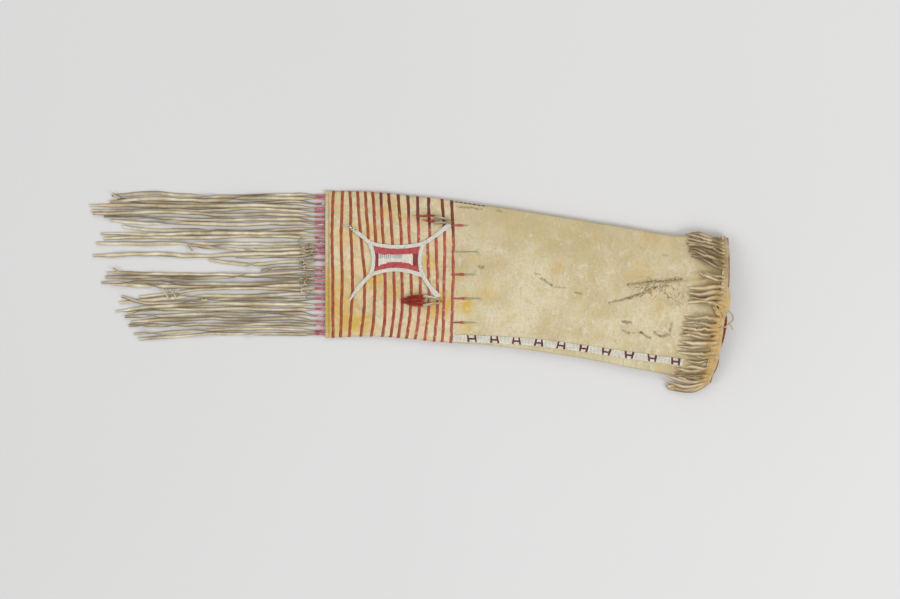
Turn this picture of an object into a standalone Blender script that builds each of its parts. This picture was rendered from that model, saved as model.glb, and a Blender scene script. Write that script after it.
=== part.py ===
"""Beaded pipe bag of tanned hide, lying on its back.

Metres, +Z up. The mouth is towards +X and the long fringe towards -X. The origin is on the
surface that the bag lies on, under the middle of its box.
"""

import math

import bmesh
import bpy
from mathutils import Vector

COLLECTION = "beaded_pipe_bag"

# The bag itself
BAG_LENGTH = 0.471
HEM_X = -0.1014
WALL = 0.0013
GAP = 0.0003
FRONT_FULLNESS = 2.6
FOLD_SHARE = 0.26
FOLD_LEAST = 0.0013
CAVITY_START = 0.035
CAVITY_SIDE_WALLS = 2.6
# Each of these runs from the hem, share 0, to the mouth, share 1.
CENTRE_Y = (
    (0, 0.0318), (0.12, 0.0322), (0.33, 0.0228), (0.55, 0.0102),
    (0.75, -0.006), (0.87, -0.0158), (1, -0.0234),
)
HALF_WIDTH = (
    (0, 0.0884), (0.12, 0.0866), (0.33, 0.0852), (0.55, 0.0824),
    (0.75, 0.0828), (0.87, 0.0834), (1, 0.088),
)
HEIGHT = (
    (0, 0.005), (0.05, 0.0082), (0.12, 0.012), (0.33, 0.017),
    (0.55, 0.021), (0.75, 0.0235), (1, 0.028),
)
TURN_DEG = ((0, 0), (0.33, 0), (0.55, 3), (0.75, 5), (1, 7))
BOW = ((0, 0), (0.8, 0), (1, 0.008))
STATIONS = (
    0, 0.018, 0.05, 0.09, 0.14, 0.2, 0.27, 0.34, 0.42,
    0.5, 0.58, 0.66, 0.74, 0.8, 0.86, 0.93, 1,
)
FRONT_NODES = (0, 0.2, 0.4, 0.57, 0.72, 0.85, 0.95, 1)

# The cut fringe round the mouth
COLLAR_THICK = 0.0012
COLLAR_DEPTH = 0.010
COLLAR_STRAND = 0.0042
COLLAR_EDGE = 0.0006
COLLAR_TAPER = 0.45
COLLAR_STEPS = (0.33, 0.68, 1.0)
# Groups of cuts: first and last root across the front (-1 to 1), how many, length, drift towards +Y
COLLAR_GROUPS = (
    (0.90, 0.54, 8, 0.044, 0.0080),
    (0.42, 0.36, 2, 0.034, 0.0060),
    (0.24, 0.06, 4, 0.043, 0.0010),
    (-0.01, -0.14, 3, 0.015, 0.0020),
    (-0.20, -0.34, 3, 0.046, 0.0030),
    (-0.41, -0.62, 4, 0.049, 0.0020),
    (-0.69, -0.83, 3, 0.024, 0.0),
    (-0.89, -0.95, 2, 0.040, 0.0),
)
SIDE_STRANDS = 3
SIDE_TURN = 0.85
SIDE_SPAN = 0.90
SIDE_FILL = 0.6
SIDE_STEPS_OUT = (0.25, 0.6, 1.0)
SIDE_REACH = 0.0120
SIDE_FAN = 1.25
SIDE_TURN_RATE = 1.6
SIDE_FLAT = (0, -0.4, 0.1)
SIDE_REST_Z = 0.0022
SIDE_STACK = 0.0020
SIDE_DROP = 0.8
SIDE_LENGTH = 0.043
BACK_STRANDS = 22
BACK_LENGTH = 0.042
BACK_TAPER = 0.3
BACK_MARGIN = 0.012
LIFT_START = 0.78
LIFT_END = 0.88

# The binding at the rim and the lace through the header
EDGING_WIDTH = 0.0024
EDGING_THICK = 0.0011
TIE_RADIUS = 0.0009
# Each end of the lace: its place across the front (-1 to 1) and its depth back from the mouth
TIE_ENDS = ((-0.007, 0.0018), (-0.236, 0.0018))
TIE_OUT = 0.0110
TIE_DROOP = 0.0020
TIE_STEPS = 8

# The long fringe: thongs with quill-wrapped tops
FRINGE_THICK = 0.0010
SLOT_DEPTH = 0.005
SLOT_MARGIN = 0.003
ROOT_Z = 0.0016
LOW_Z = 0.00135
HIGH_Z = 0.0043
LAYER_RATE = 8
CORE_WIDTH = 0.0012
THONG_WIDTH = 0.0036
TIP_WIDTH = 0.0016
THONG_TWIST_DEG = 22
THONG_TWIST_TURNS = (7, 1.7)
THONG_WAVE = 0.0005
THONG_WAVE_TURNS = (9, 2.3)
THONG_STEPS = 8
WRAP_LENGTH = 0.0120
WRAP_START = 0.0008
WRAP_INNER = 0.00115
WRAP_WALL = 0.0004
WRAP_SIDES = 7
# Each thong: the Y of its root, of its middle and of its tip, and its length
THONGS = (
    (0.1146, 0.1134, 0.1140, 0.2562), (0.1110, 0.1092, 0.1074, 0.2586),
    (0.1044, 0.1050, 0.1092, 0.2490), (0.0990, 0.1020, 0.1026, 0.2826),
    (0.0948, 0.0966, 0.0960, 0.2802), (0.0888, 0.0924, 0.0930, 0.2790),
    (0.0828, 0.0858, 0.0900, 0.2658), (0.0792, 0.0810, 0.0852, 0.2586),
    (0.0744, 0.0726, 0.0768, 0.2430), (0.0690, 0.0684, 0.0684, 0.2694),
    (0.0642, 0.0642, 0.0624, 0.2658), (0.0588, 0.0570, 0.0564, 0.2742),
    (0.0534, 0.0474, 0.0530, 0.1650), (0.0498, 0.0426, 0.0426, 0.2790),
    (0.0450, 0.0414, 0.0408, 0.1062), (0.0372, 0.0318, 0.0366, 0.1398),
    (0.0282, 0.0264, 0.0258, 0.0774), (0.0234, 0.0198, 0.0216, 0.2622),
    (0.0180, 0.0168, 0.0168, 0.2640), (0.0132, 0.0096, 0.0096, 0.2688),
    (0.0078, 0.0048, 0.0078, 0.2562), (0.0024, 0.0012, -0.0060, 0.2226),
    (-0.0048, -0.0060, -0.0132, 0.2466), (-0.0096, -0.0120, -0.0096, 0.2442),
    (-0.0162, -0.0168, -0.0240, 0.2514), (-0.0222, -0.0228, -0.0264, 0.2382),
    (-0.0300, -0.0276, -0.0312, 0.2406), (-0.0366, -0.0336, -0.0372, 0.2334),
    (-0.0414, -0.0408, -0.0414, 0.2358), (-0.0480, -0.0474, -0.0510, 0.2298),
    (-0.0519, -0.0522, -0.0576, 0.2238),
)

# The quilled lines: distance from the hem at the +Y edge and at the -Y edge
LINE_ENDS = (
    (0.0098, 0.0094), (0.0205, 0.0180), (0.0294, 0.0283), (0.0388, 0.0424), (0.0479, 0.0544),
    (0.0570, 0.0677), (0.0668, 0.0772), (0.0759, 0.0863), (0.0876, 0.0960), (0.0992, 0.1064),
    (0.1110, 0.1182), (0.1240, 0.1298), (0.1396, 0.1396), (0.1513, 0.1500),
)
LINE_WIDTH = 0.0034
LINE_THICK = 0.0007
LINE_END_TURN = 0.85
TICK_Y = (0.0785, 0.0469, 0.0197, -0.0090, -0.0377)
TICK_LENGTH = 0.036
TICK_WIDTH = 0.0030
TICK_TIP = 0.0018
TICK_STEPS = ((0.35, TICK_WIDTH), (0.7, TICK_WIDTH), (1.0, TICK_TIP))

# The applied figure on the front
FIGURE_CENTRE = (0.0858, 0.0384)
FIGURE_CORNERS = ((0.0325, 0.0185), (-0.0325, 0.0190), (-0.0315, -0.0190), (0.0315, -0.0205))
FIGURE_TIPS = ((0.0632, 0.0415), (-0.0628, 0.0420), (-0.0562, -0.0492), (0.0500, -0.0458))
SIDE_SAGS = (0.0045, 0.0042, 0.0068, 0.0046)
BORDER_WIDTH = 0.0048
RAY_END_WIDTH = 0.0072
BORDER_THICK = 0.0013
FIELD_THICK = 0.0009
SIDE_STEPS = 6
RAY_STEPS = 4

# The bead lane along the -Y edge
LANE_LINE_GAP = 0.0014
LANE_MOUTH_GAP = 0.0367
LANE_T_START = -0.925
LANE_T_END = -0.785
LANE_WIDTH = 0.0078
LANE_THICK = 0.0015
LANE_FIGURES = 10
LANE_FIRST = 0.0230
LANE_PITCH = 0.0277
FIGURE_POST = 0.0022
FIGURE_WEB = 0.0050
WEB_WIDTH = 0.0024

# The tin cones and their hair: tips and bases as distance from the hem and place across
CONES = (
    ((0.1492, 0.0842), (0.1302, 0.0884)),
    ((0.1486, 0.0810), (0.1300, 0.0812)),
    ((0.1372, -0.0098), (0.1180, -0.0052)),
    ((0.1372, -0.0136), (0.1176, -0.0168)),
)
HAIR_ENDS = ((0.1068, 0.0900), (0.1168, 0.0850), (0.0925, -0.0108), (0.0930, -0.0122))
HAIR_RADII = (0.0010, 0.0009, 0.0026, 0.0026)
CONE_BASE = 0.0019
CONE_TIP = 0.0012
CONE_CLEAR = 0.0008
TIN = 0.0003
LEG_RADIUS = 0.0005
KNOT_RADIUS = 0.0011
KNOT_REACH = 0.0030

COLOURS = {
    "hide": ((0.66, 0.55, 0.38), 0.85, 0.0),
    "fringe_hide": ((0.60, 0.51, 0.36), 0.88, 0.0),
    "collar_hide": ((0.58, 0.45, 0.28), 0.88, 0.0),
    "red_quill": ((0.46, 0.08, 0.06), 0.55, 0.0),
    "wrap_quill": ((0.36, 0.05, 0.07), 0.5, 0.0),
    "red_binding": ((0.33, 0.06, 0.05), 0.8, 0.0),
    "white_beads": ((0.80, 0.78, 0.72), 0.3, 0.0),
    "dark_beads": ((0.28, 0.03, 0.05), 0.3, 0.0),
    "tin": ((0.45, 0.44, 0.40), 0.4, 0.9),
    "hair": ((0.35, 0.03, 0.04), 0.7, 0.0),
}


def clear_scene():
    for obj in list(bpy.data.objects):
        bpy.data.objects.remove(obj, do_unlink=True)


def make_collection(name):
    collection = bpy.data.collections.new(name)
    bpy.context.scene.collection.children.link(collection)
    return collection


def make_materials():
    made = {}
    for name, (colour, roughness, metallic) in COLOURS.items():
        material = bpy.data.materials.new(name)
        material.use_nodes = True
        shader = material.node_tree.nodes["Principled BSDF"]
        shader.inputs["Base Color"].default_value = (*colour, 1.0)
        shader.inputs["Roughness"].default_value = roughness
        shader.inputs["Metallic"].default_value = metallic
        material.diffuse_color = (*colour, 1.0)
        made[name] = material
    return made


def along(knots, share):
    """A smooth curve through (share, value) pairs, read at share."""
    if share <= knots[0][0]:
        return knots[0][1]
    if share >= knots[-1][0]:
        return knots[-1][1]
    i = next(n for n in range(len(knots) - 1) if share <= knots[n + 1][0])

    def slope(n):
        before, after = knots[max(n - 1, 0)], knots[min(n + 1, len(knots) - 1)]
        return (after[1] - before[1]) / (after[0] - before[0])

    (x0, y0), (x1, y1) = knots[i], knots[i + 1]
    span = x1 - x0
    u = (share - x0) / span
    return (
        y0 * (1 + 2 * u) * (1 - u) ** 2
        + slope(i) * span * u * (1 - u) ** 2
        + y1 * u * u * (3 - 2 * u)
        + slope(i + 1) * span * u * u * (u - 1)
    )


def ease(share):
    share = min(max(share, 0.0), 1.0)
    return share * share * (3 - 2 * share)


def lift_at(share):
    """How far the back stands off the surface, to leave room for the collar's back."""
    return (COLLAR_THICK + GAP) * ease((share - LIFT_START) / (LIFT_END - LIFT_START))


def plan(share, across):
    """World x and y of a point on the station, across metres from its middle."""
    turn = math.radians(along(TURN_DEG, share))
    bulge = along(BOW, share) * (1 - (across / along(HALF_WIDTH, share)) ** 2)
    x = HEM_X + BAG_LENGTH * share + math.sin(turn) * across + bulge
    return x, along(CENTRE_Y, share) + math.cos(turn) * across


T_NODES = [-t for t in reversed(FRONT_NODES[1:])] + list(FRONT_NODES)
FIRST_FRONT = 2
LAST_FRONT = FIRST_FRONT + len(T_NODES) - 1
ROUND_BACK = 1 - math.sqrt(0.5)


def front_height(share, across):
    """How high the front stands over the back, across metres from the middle of the station."""
    height = along(HEIGHT, share)
    fold = FOLD_SHARE * height + FOLD_LEAST
    spread = abs(across) / along(HALF_WIDTH, share)
    return fold + (height - fold) * (1 - spread**FRONT_FULLNESS)


def ring(share, inset=0.0):
    """One closed section: back corner, rounded fold, crowned front, rounded fold, back corner."""
    half = along(HALF_WIDTH, share) - CAVITY_SIDE_WALLS * inset
    fold = front_height(share, half) - 2 * inset
    flank = [(half - fold, 0.0), (half - ROUND_BACK * fold, ROUND_BACK * fold)]
    section = [(-across, z) for across, z in flank]
    section += [(half * t, front_height(share, half * t) - 2 * inset) for t in T_NODES]
    section += [(across, z) for across, z in reversed(flank)]
    return [Vector((*plan(share, across), lift_at(share) + inset + z)) for across, z in section]


RINGS = [ring(share) for share in STATIONS]


def skin(share, place):
    """The faceted outer skin at a share of the length and a place round the ring."""
    share = min(max(share, 0.0), 1.0)
    i = next(n for n in range(len(STATIONS) - 1) if share <= STATIONS[n + 1])
    u = (share - STATIONS[i]) / (STATIONS[i + 1] - STATIONS[i])
    k = min(int(place), len(RINGS[0]) - 2)
    v = place - k
    near = RINGS[i][k].lerp(RINGS[i][k + 1], v)
    far = RINGS[i + 1][k].lerp(RINGS[i + 1][k + 1], v)
    return near.lerp(far, u)


def on_skin(share, place, lift):
    """A point that stands lift off the skin, along its normal."""
    step = 0.02
    ahead = skin(min(share + step, 1), place) - skin(max(share - step, 0), place)
    round_it = skin(share, place + step) - skin(share, place - step)
    return skin(share, place) + ahead.cross(round_it).normalized() * lift


def place_of(t):
    """The place round the ring of a point on the front, from -1 to 1 across it."""
    t = min(max(t, -1.0), 1.0)
    n = next(n for n in range(len(T_NODES) - 1) if t <= T_NODES[n + 1])
    return FIRST_FRONT + n + (t - T_NODES[n]) / (T_NODES[n + 1] - T_NODES[n])


def on_front(x, y, lift):
    """The point above world x, y that stands lift off the front."""
    share = (x - HEM_X) / BAG_LENGTH
    t = (y - along(CENTRE_Y, share)) / along(HALF_WIDTH, share)
    for _ in range(8):
        at = skin(share, place_of(t))
        share = min(max(share + (x - at.x) / BAG_LENGTH, 0.0), 1.0)
        t = min(max(t + (y - at.y) / along(HALF_WIDTH, share), -1.0), 1.0)
    return on_skin(share, place_of(t), lift)


def finish(name, bm, materials, collection, smooth=True):
    """Turns a bmesh into the named object."""
    mesh = bpy.data.meshes.new(name)
    bm.to_mesh(mesh)
    bm.free()
    for material in materials:
        mesh.materials.append(material)
    if smooth:
        mesh.shade_smooth()
        mesh.set_sharp_from_angle(angle=math.radians(40))
    obj = bpy.data.objects.new(name, mesh)
    collection.objects.link(obj)
    return obj


def solidify(obj, thickness, offset):
    wall = obj.modifiers.new("wall", "SOLIDIFY")
    wall.thickness = thickness
    wall.offset = offset
    return obj


def comb(rows, teeth):
    """A sheet cut into strands: rows of points, then per column the stations of its strand."""
    bm = bmesh.new()
    grid = [[bm.verts.new(point) for point in row] for row in rows]
    for upper, lower in zip(grid, grid[1:]):
        for j in range(len(upper) - 1):
            bm.faces.new((upper[j], lower[j], lower[j + 1], upper[j + 1]))
    for column, stations in teeth.items():
        left, right = grid[-1][column], grid[-1][column + 1]
        for new_left, new_right in stations:
            next_left, next_right = bm.verts.new(new_left), bm.verts.new(new_right)
            bm.faces.new((left, next_left, next_right, right))
            left, right = next_left, next_right
    return bm


def make_bag_body(materials, collection, cutters):
    """The hide tube: a loft from the flat hem to the open mouth and back down its inside."""
    inner = [CAVITY_START] + [share for share in STATIONS if share > CAVITY_START]
    loops = RINGS + [ring(share, WALL) for share in reversed(inner)]
    bm = bmesh.new()
    verts = [[bm.verts.new(point) for point in loop] for loop in loops]
    count = len(verts[0])
    for near, far in zip(verts, verts[1:]):
        for k in range(count):
            following = (k + 1) % count
            bm.faces.new((near[k], near[following], far[following], far[k]))
    bm.faces.new(verts[0])
    bm.faces.new(verts[-1])
    bmesh.ops.recalc_face_normals(bm, faces=bm.faces)
    body = finish("bag_body", bm, [materials["hide"]], collection)
    slot = bmesh.new()
    bmesh.ops.create_cube(slot, size=1.0)
    half = along(HALF_WIDTH, 0) - SLOT_MARGIN
    slot_height = FRINGE_THICK + 2 * GAP
    bmesh.ops.scale(slot, vec=(2 * SLOT_DEPTH, 2 * half, slot_height), verts=slot.verts)
    bmesh.ops.translate(slot, vec=(HEM_X, along(CENTRE_Y, 0), ROOT_Z), verts=slot.verts)
    cutter = finish("hem_slot_cutter", slot, [], cutters, smooth=False)
    cutter.hide_render = True
    cutter.display_type = "WIRE"
    cut = body.modifiers.new("hem_slot", "BOOLEAN")
    cut.operation = "DIFFERENCE"
    cut.solver = "EXACT"
    cut.object = cutter


def swing(turns, share, number):
    """A wave along a thong, at another phase on each one."""
    return math.sin(turns[0] * share + turns[1] * number)


def thong_stations(number, root_y, middle_y, tip_y, length):
    """Left and right points of one thong, from the end of its wrapped top to its tip."""
    top_x = HEM_X - WRAP_START - WRAP_LENGTH
    free = length - (HEM_X - top_x)
    layer = LOW_Z if number % 2 else HIGH_Z
    course = ((0, root_y), (0.12, root_y), (0.5, middle_y), (1, tip_y))
    stations = []
    for n in range(THONG_STEPS + 1):
        share = n / THONG_STEPS
        x = top_x - free * share
        y = along(course, share) + THONG_WAVE * swing(THONG_WAVE_TURNS, share, number) * ease(3 * share)
        z = ROOT_Z + (layer - ROOT_Z) * ease(LAYER_RATE * share)
        width = CORE_WIDTH + (THONG_WIDTH - CORE_WIDTH) * ease(9 * share)
        width += (TIP_WIDTH - THONG_WIDTH) * ease(6 * share - 5)
        twist = math.radians(THONG_TWIST_DEG) * swing(THONG_TWIST_TURNS, share, number) * ease(4 * share)
        across = Vector((0, math.cos(twist), math.sin(twist))) * width / 2
        centre = Vector((x, y, z))
        stations.append((centre + across, centre - across))
    return stations


def make_fringe_panel(materials, collection):
    """One strip of hide, its upper edge sewn into the hem and the rest cut into thongs."""
    edge = along(HALF_WIDTH, 0) - SLOT_MARGIN - GAP
    middle = along(CENTRE_Y, 0)
    columns = [middle + edge]
    teeth = {}
    for number, (root_y, middle_y, tip_y, length) in enumerate(THONGS, start=1):
        teeth[len(columns)] = thong_stations(number, root_y, middle_y, tip_y, length)
        columns += [root_y + CORE_WIDTH / 2, root_y - CORE_WIDTH / 2]
    columns.append(middle - edge)
    rows = [
        [Vector((x, y, ROOT_Z)) for y in columns]
        for x in (HEM_X + SLOT_DEPTH - GAP, HEM_X + SLOT_DEPTH / 3)
    ]
    sheet = finish("fringe_panel", comb(rows, teeth), [materials["fringe_hide"]], collection)
    solidify(sheet, FRINGE_THICK, 0)


def make_quill_wraps(materials, collection):
    """A sleeve of wound quills round the top of each thong."""
    for number, (root_y, *_) in enumerate(THONGS, start=1):
        bpy.ops.mesh.primitive_cylinder_add(
            vertices=WRAP_SIDES,
            radius=WRAP_INNER + WRAP_WALL,
            depth=WRAP_LENGTH,
            end_fill_type="NOTHING",
            location=(HEM_X - WRAP_START - WRAP_LENGTH / 2, root_y, ROOT_Z),
            rotation=(0, math.pi / 2, 0),
        )
        sleeve = bpy.context.object
        rename(sleeve, f"quill_wrap_{number:02d}", materials["wrap_quill"], collection)
        solidify(sleeve, WRAP_WALL, -1)


def rename(obj, name, material, collection):
    """Names a new primitive and moves it to the object's collection."""
    obj.name = name
    obj.data.name = name
    obj.data.materials.append(material)
    for old in list(obj.users_collection):
        old.objects.unlink(obj)
    collection.objects.link(obj)
    obj.data.shade_smooth()
    obj.data.set_sharp_from_angle(angle=math.radians(50))


def make_quill_lines(materials, collection):
    """The lines sewn across the front, each turned round both side folds; the last has five ticks."""
    folds = [FIRST_FRONT - LINE_END_TURN, LAST_FRONT + LINE_END_TURN]
    folds += range(FIRST_FRONT, LAST_FRONT + 1)
    for number, (left, right) in enumerate(LINE_ENDS, start=1):
        places = list(folds)
        ticks = TICK_Y if number == len(LINE_ENDS) else ()
        middle = (left + right) / 2 / BAG_LENGTH
        tick_places = []
        for y in ticks:
            across = y - along(CENTRE_Y, middle)
            half = along(HALF_WIDTH, middle)
            edges = [place_of((across + side * TICK_WIDTH / 2) / half) for side in (-1, 1)]
            tick_places.append(edges)
            places += edges
        places = sorted(set(places))
        rows = []
        for side in (-1, 1):
            row = []
            for place in places:
                t = (place - FIRST_FRONT) / (LAST_FRONT - FIRST_FRONT)
                distance = right + (left - right) * t + side * LINE_WIDTH / 2
                row.append(on_skin(distance / BAG_LENGTH, place, GAP))
            rows.append(row)
        teeth = {}
        for y, (low, high) in zip(ticks, tick_places):
            root_x = rows[-1][places.index(low)].x
            teeth[places.index(low)] = [
                tuple(
                    on_front(root_x + TICK_LENGTH * reach, y + side * width / 2, GAP)
                    for side in (-1, 1)
                )
                for reach, width in TICK_STEPS
            ]
        strip = comb(rows, teeth)
        line = finish(f"quill_line_{number:02d}", strip, [materials["red_quill"]], collection)
        solidify(line, LINE_THICK, 1)


def front_root(t, depth):
    """World x and y on the front, t across it and depth back from the mouth."""
    share = 1 - depth / BAG_LENGTH
    return plan(share, along(HALF_WIDTH, share) * t)


def make_front_collar(materials, collection):
    """The header round the front of the mouth with its cut strands, and the strands at the side."""
    half = along(HALF_WIDTH, 1)
    width_t = COLLAR_STRAND / 2 / half
    lift = GAP
    roots = []
    for first, last, count, length, drift in COLLAR_GROUPS:
        for n in range(count):
            roots.append((first + (last - first) * n / (count - 1), length, drift))
    places = [FIRST_FRONT - SIDE_TURN, *range(FIRST_FRONT, LAST_FRONT + 1), LAST_FRONT + SIDE_TURN]
    side_pitch = SIDE_SPAN / SIDE_STRANDS
    side_places = [FIRST_FRONT - SIDE_TURN + side_pitch * n for n in range(SIDE_STRANDS)]
    side_edges = [(place, place + SIDE_FILL * side_pitch) for place in side_places]
    strand_edges = [(place_of(t - width_t), place_of(t + width_t)) for t, _, _ in roots]
    for low, high in side_edges + strand_edges:
        places = [place for place in places if not low < place < high]
        places += [low, high]
    places = sorted(set(places))
    header = COLLAR_DEPTH / BAG_LENGTH
    edge = COLLAR_EDGE / BAG_LENGTH
    rows = [[on_skin(share, place, lift) for place in places] for share in (1 - edge, 1 - header)]
    teeth = {}
    for (low, _), (t, length, drift) in zip(strand_edges, roots):
        stations = []
        for reach in COLLAR_STEPS:
            width = COLLAR_STRAND * (1 - COLLAR_TAPER * ease(3 * reach - 2))
            x, y = front_root(t, COLLAR_DEPTH + length * reach)
            y += drift * ease(reach)
            stations.append(tuple(on_front(x, y + side * width / 2, lift) for side in (-1, 1)))
        teeth[places.index(low)] = stations
    for n, (low, high) in enumerate(side_edges):
        ends = [on_skin(1 - header, place, lift) for place in (low, high)]
        teeth[places.index(low)] = side_strand(*ends, n)
    bm = comb(rows, teeth)
    bmesh.ops.reverse_faces(bm, faces=bm.faces)
    collar = finish("front_collar_fringe", bm, [materials["collar_hide"]], collection)
    solidify(collar, COLLAR_THICK, 1)


def side_strand(low, high, number):
    """A strand that leaves the header at the side fold and lies out beside the bag."""
    middle = (low + high) / 2
    rise = (high - low) / 2
    fan = (number + 1) / SIDE_STRANDS
    stations = []
    for reach in SIDE_STEPS_OUT:
        turned = ease(SIDE_TURN_RATE * reach)
        flat = Vector(SIDE_FLAT) * COLLAR_STRAND * turned
        half = rise * (1 - turned) + flat
        out = Vector((-SIDE_LENGTH * reach, -SIDE_REACH * (SIDE_FAN - fan) * ease(reach), 0))
        out.y += flat.y
        rest_z = SIDE_REST_Z + SIDE_STACK * number
        out.z = (rest_z - middle.z) * SIDE_DROP * ease(reach)
        stations.append((middle + out - half, middle + out + half))
    return stations


def make_back_collar(materials, collection):
    """The same cut strip along the back of the mouth, flat between the bag and the surface."""
    half = along(HALF_WIDTH, 1) - BACK_MARGIN
    pitch = 2 * half / BACK_STRANDS
    tip_width = COLLAR_STRAND * (1 - BACK_TAPER)
    columns = [-half]
    teeth = {}
    for n in range(BACK_STRANDS):
        root = -half + pitch * (n + 0.5)
        low, high = root - COLLAR_STRAND / 2, root + COLLAR_STRAND / 2
        teeth[len(columns)] = [
            tuple(
                Vector((plan(1, across)[0] - COLLAR_DEPTH - BACK_LENGTH, plan(1, across)[1], 0))
                for across in (root - tip_width / 2, root + tip_width / 2)
            )
        ]
        columns += [low, high]
    columns.append(half)
    rows = [
        [Vector((plan(1, across)[0] - depth, plan(1, across)[1], 0)) for across in columns]
        for depth in (COLLAR_EDGE, COLLAR_DEPTH)
    ]
    bm = comb(rows, teeth)
    bmesh.ops.reverse_faces(bm, faces=bm.faces)
    collar = finish("back_collar_fringe", bm, [materials["collar_hide"]], collection)
    solidify(collar, COLLAR_THICK, 1)


def make_mouth_edging(materials, collection):
    """The red binding that stands off the rim of the mouth, all the way round."""
    bm = bmesh.new()
    loops = []
    for out in (GAP, GAP + EDGING_WIDTH):
        points = ring(1, WALL / 2)
        loops.append([bm.verts.new(point + Vector((out, 0, 0))) for point in points])
    near, far = loops
    for k in range(len(near)):
        following = (k + 1) % len(near)
        bm.faces.new((near[k], near[following], far[following], far[k]))
    edging = finish("mouth_edging", bm, [materials["red_binding"]], collection)
    solidify(edging, EDGING_THICK, 0)


def make_tie_thong(materials, collection):
    """A lace through the header, looped out over the rim."""
    lift = GAP + COLLAR_THICK + GAP + TIE_RADIUS
    start, end = (on_front(*front_root(t, depth), lift) for t, depth in TIE_ENDS)
    points = []
    for n in range(TIE_STEPS + 1):
        turn = math.pi * n / TIE_STEPS
        between = start.lerp(end, (1 - math.cos(turn)) / 2)
        points.append(between + Vector((TIE_OUT, 0, -TIE_DROOP)) * math.sin(turn))
    curve = bpy.data.curves.new("tie_thong", "CURVE")
    curve.dimensions = "3D"
    curve.bevel_depth = TIE_RADIUS
    curve.bevel_resolution = 2
    curve.use_fill_caps = True
    spline = curve.splines.new("POLY")
    spline.points.add(len(points) - 1)
    for point, at in zip(spline.points, points):
        point.co = (*at, 1)
    curve.materials.append(materials["fringe_hide"])
    tie = bpy.data.objects.new("tie_thong", curve)
    collection.objects.link(tie)


def make_bead_lane(materials, collection):
    """The lane of white beads near the -Y edge, with ten two-post figures in dark beads."""
    from_hem = LINE_ENDS[-1][1] + LINE_WIDTH / 2 + LANE_LINE_GAP
    length = BAG_LENGTH - LANE_MOUTH_GAP - from_hem
    cuts = [(0.0, "plain")]
    for n in range(LANE_FIGURES):
        start = LANE_FIRST + LANE_PITCH * n - FIGURE_POST - FIGURE_WEB / 2
        cuts += [
            (start, "post"),
            (start + FIGURE_POST, "web"),
            (start + FIGURE_POST + FIGURE_WEB, "post"),
            (start + 2 * FIGURE_POST + FIGURE_WEB, "plain"),
        ]
    cuts = [cut for cut in cuts if cut[0] < length] + [(length, "end")]
    edges = (-LANE_WIDTH / 2, -WEB_WIDTH / 2, WEB_WIDTH / 2, LANE_WIDTH / 2)
    bm = bmesh.new()
    rows = []
    for distance, _ in cuts:
        share = (from_hem + distance) / BAG_LENGTH
        t = LANE_T_START + (LANE_T_END - LANE_T_START) * distance / length
        half = along(HALF_WIDTH, share)
        rows.append([bm.verts.new(on_skin(share, place_of(t + edge / half), GAP)) for edge in edges])
    for near, far, (_, kind) in zip(rows, rows[1:], cuts):
        for column in range(len(edges) - 1):
            face = bm.faces.new((near[column], far[column], far[column + 1], near[column + 1]))
            face.material_index = int(kind == "post" or (kind == "web" and column == 1))
    lane = finish("bead_lane", bm, [materials["white_beads"], materials["dark_beads"]], collection)
    solidify(lane, LANE_THICK, 1)


def bowed_side(start, end, sag, offset, first, last):
    """Points along a side that bows towards the figure's middle, offset outwards."""
    start, end = Vector(start), Vector(end)
    run = (end - start).normalized()
    outward = Vector((run.y, -run.x))
    if outward.dot((start + end) / 2) < 0:
        outward = -outward
    points = []
    for n in range(SIDE_STEPS + 1):
        share = first + (last - first) * n / SIDE_STEPS
        bow = 4 * share * (1 - share) * sag
        points.append(start.lerp(end, share) + outward * (offset - bow))
    return points


def figure_loops():
    """The outlines of the figure with its four rays, of its window, and of the field inside."""
    outer, inner, field = [], [], []
    for n, tip in enumerate(FIGURE_TIPS):
        corner, following = FIGURE_CORNERS[n], FIGURE_CORNERS[(n + 1) % 4]
        side = bowed_side(corner, following, SIDE_SAGS[n], BORDER_WIDTH / 2, 0.06, 0.94)
        inner += bowed_side(corner, following, SIDE_SAGS[n], -BORDER_WIDTH / 2, 0.09, 0.91)
        field += bowed_side(corner, following, SIDE_SAGS[n], -BORDER_WIDTH / 2 - 1.5 * GAP, 0.12, 0.88)
        outer += side
        next_tip = Vector(FIGURE_TIPS[(n + 1) % 4])
        ray = (next_tip - Vector(following)).normalized()
        across = Vector((-ray.y, ray.x)) * RAY_END_WIDTH / 2
        ends = sorted((next_tip + across, next_tip - across), key=lambda end: (end - side[-1]).length)
        after = FIGURE_CORNERS[(n + 2) % 4]
        back = bowed_side(following, after, SIDE_SAGS[(n + 1) % 4], BORDER_WIDTH / 2, 0.06, 0.94)[0]
        outer += [side[-1].lerp(ends[0], step / RAY_STEPS) for step in range(1, RAY_STEPS + 1)]
        outer += [ends[1].lerp(back, step / RAY_STEPS) for step in range(RAY_STEPS)]
    return outer, inner, field


def flat_sheet(loops, lift):
    """Fills the outlines and lays them on the front of the bag."""
    bm = bmesh.new()
    for loop in loops:
        verts = [bm.verts.new((point.x, point.y, 0)) for point in loop]
        for n, vert in enumerate(verts):
            bm.edges.new((vert, verts[(n + 1) % len(verts)]))
    bmesh.ops.triangle_fill(bm, edges=bm.edges, use_beauty=True, normal=(0, 0, 1))
    for face in bm.faces:
        if face.normal.z < 0:
            face.normal_flip()
    for vert in bm.verts:
        x = HEM_X + FIGURE_CENTRE[0] + vert.co.x
        vert.co = on_front(x, FIGURE_CENTRE[1] + vert.co.y, lift)
    return bm


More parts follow.
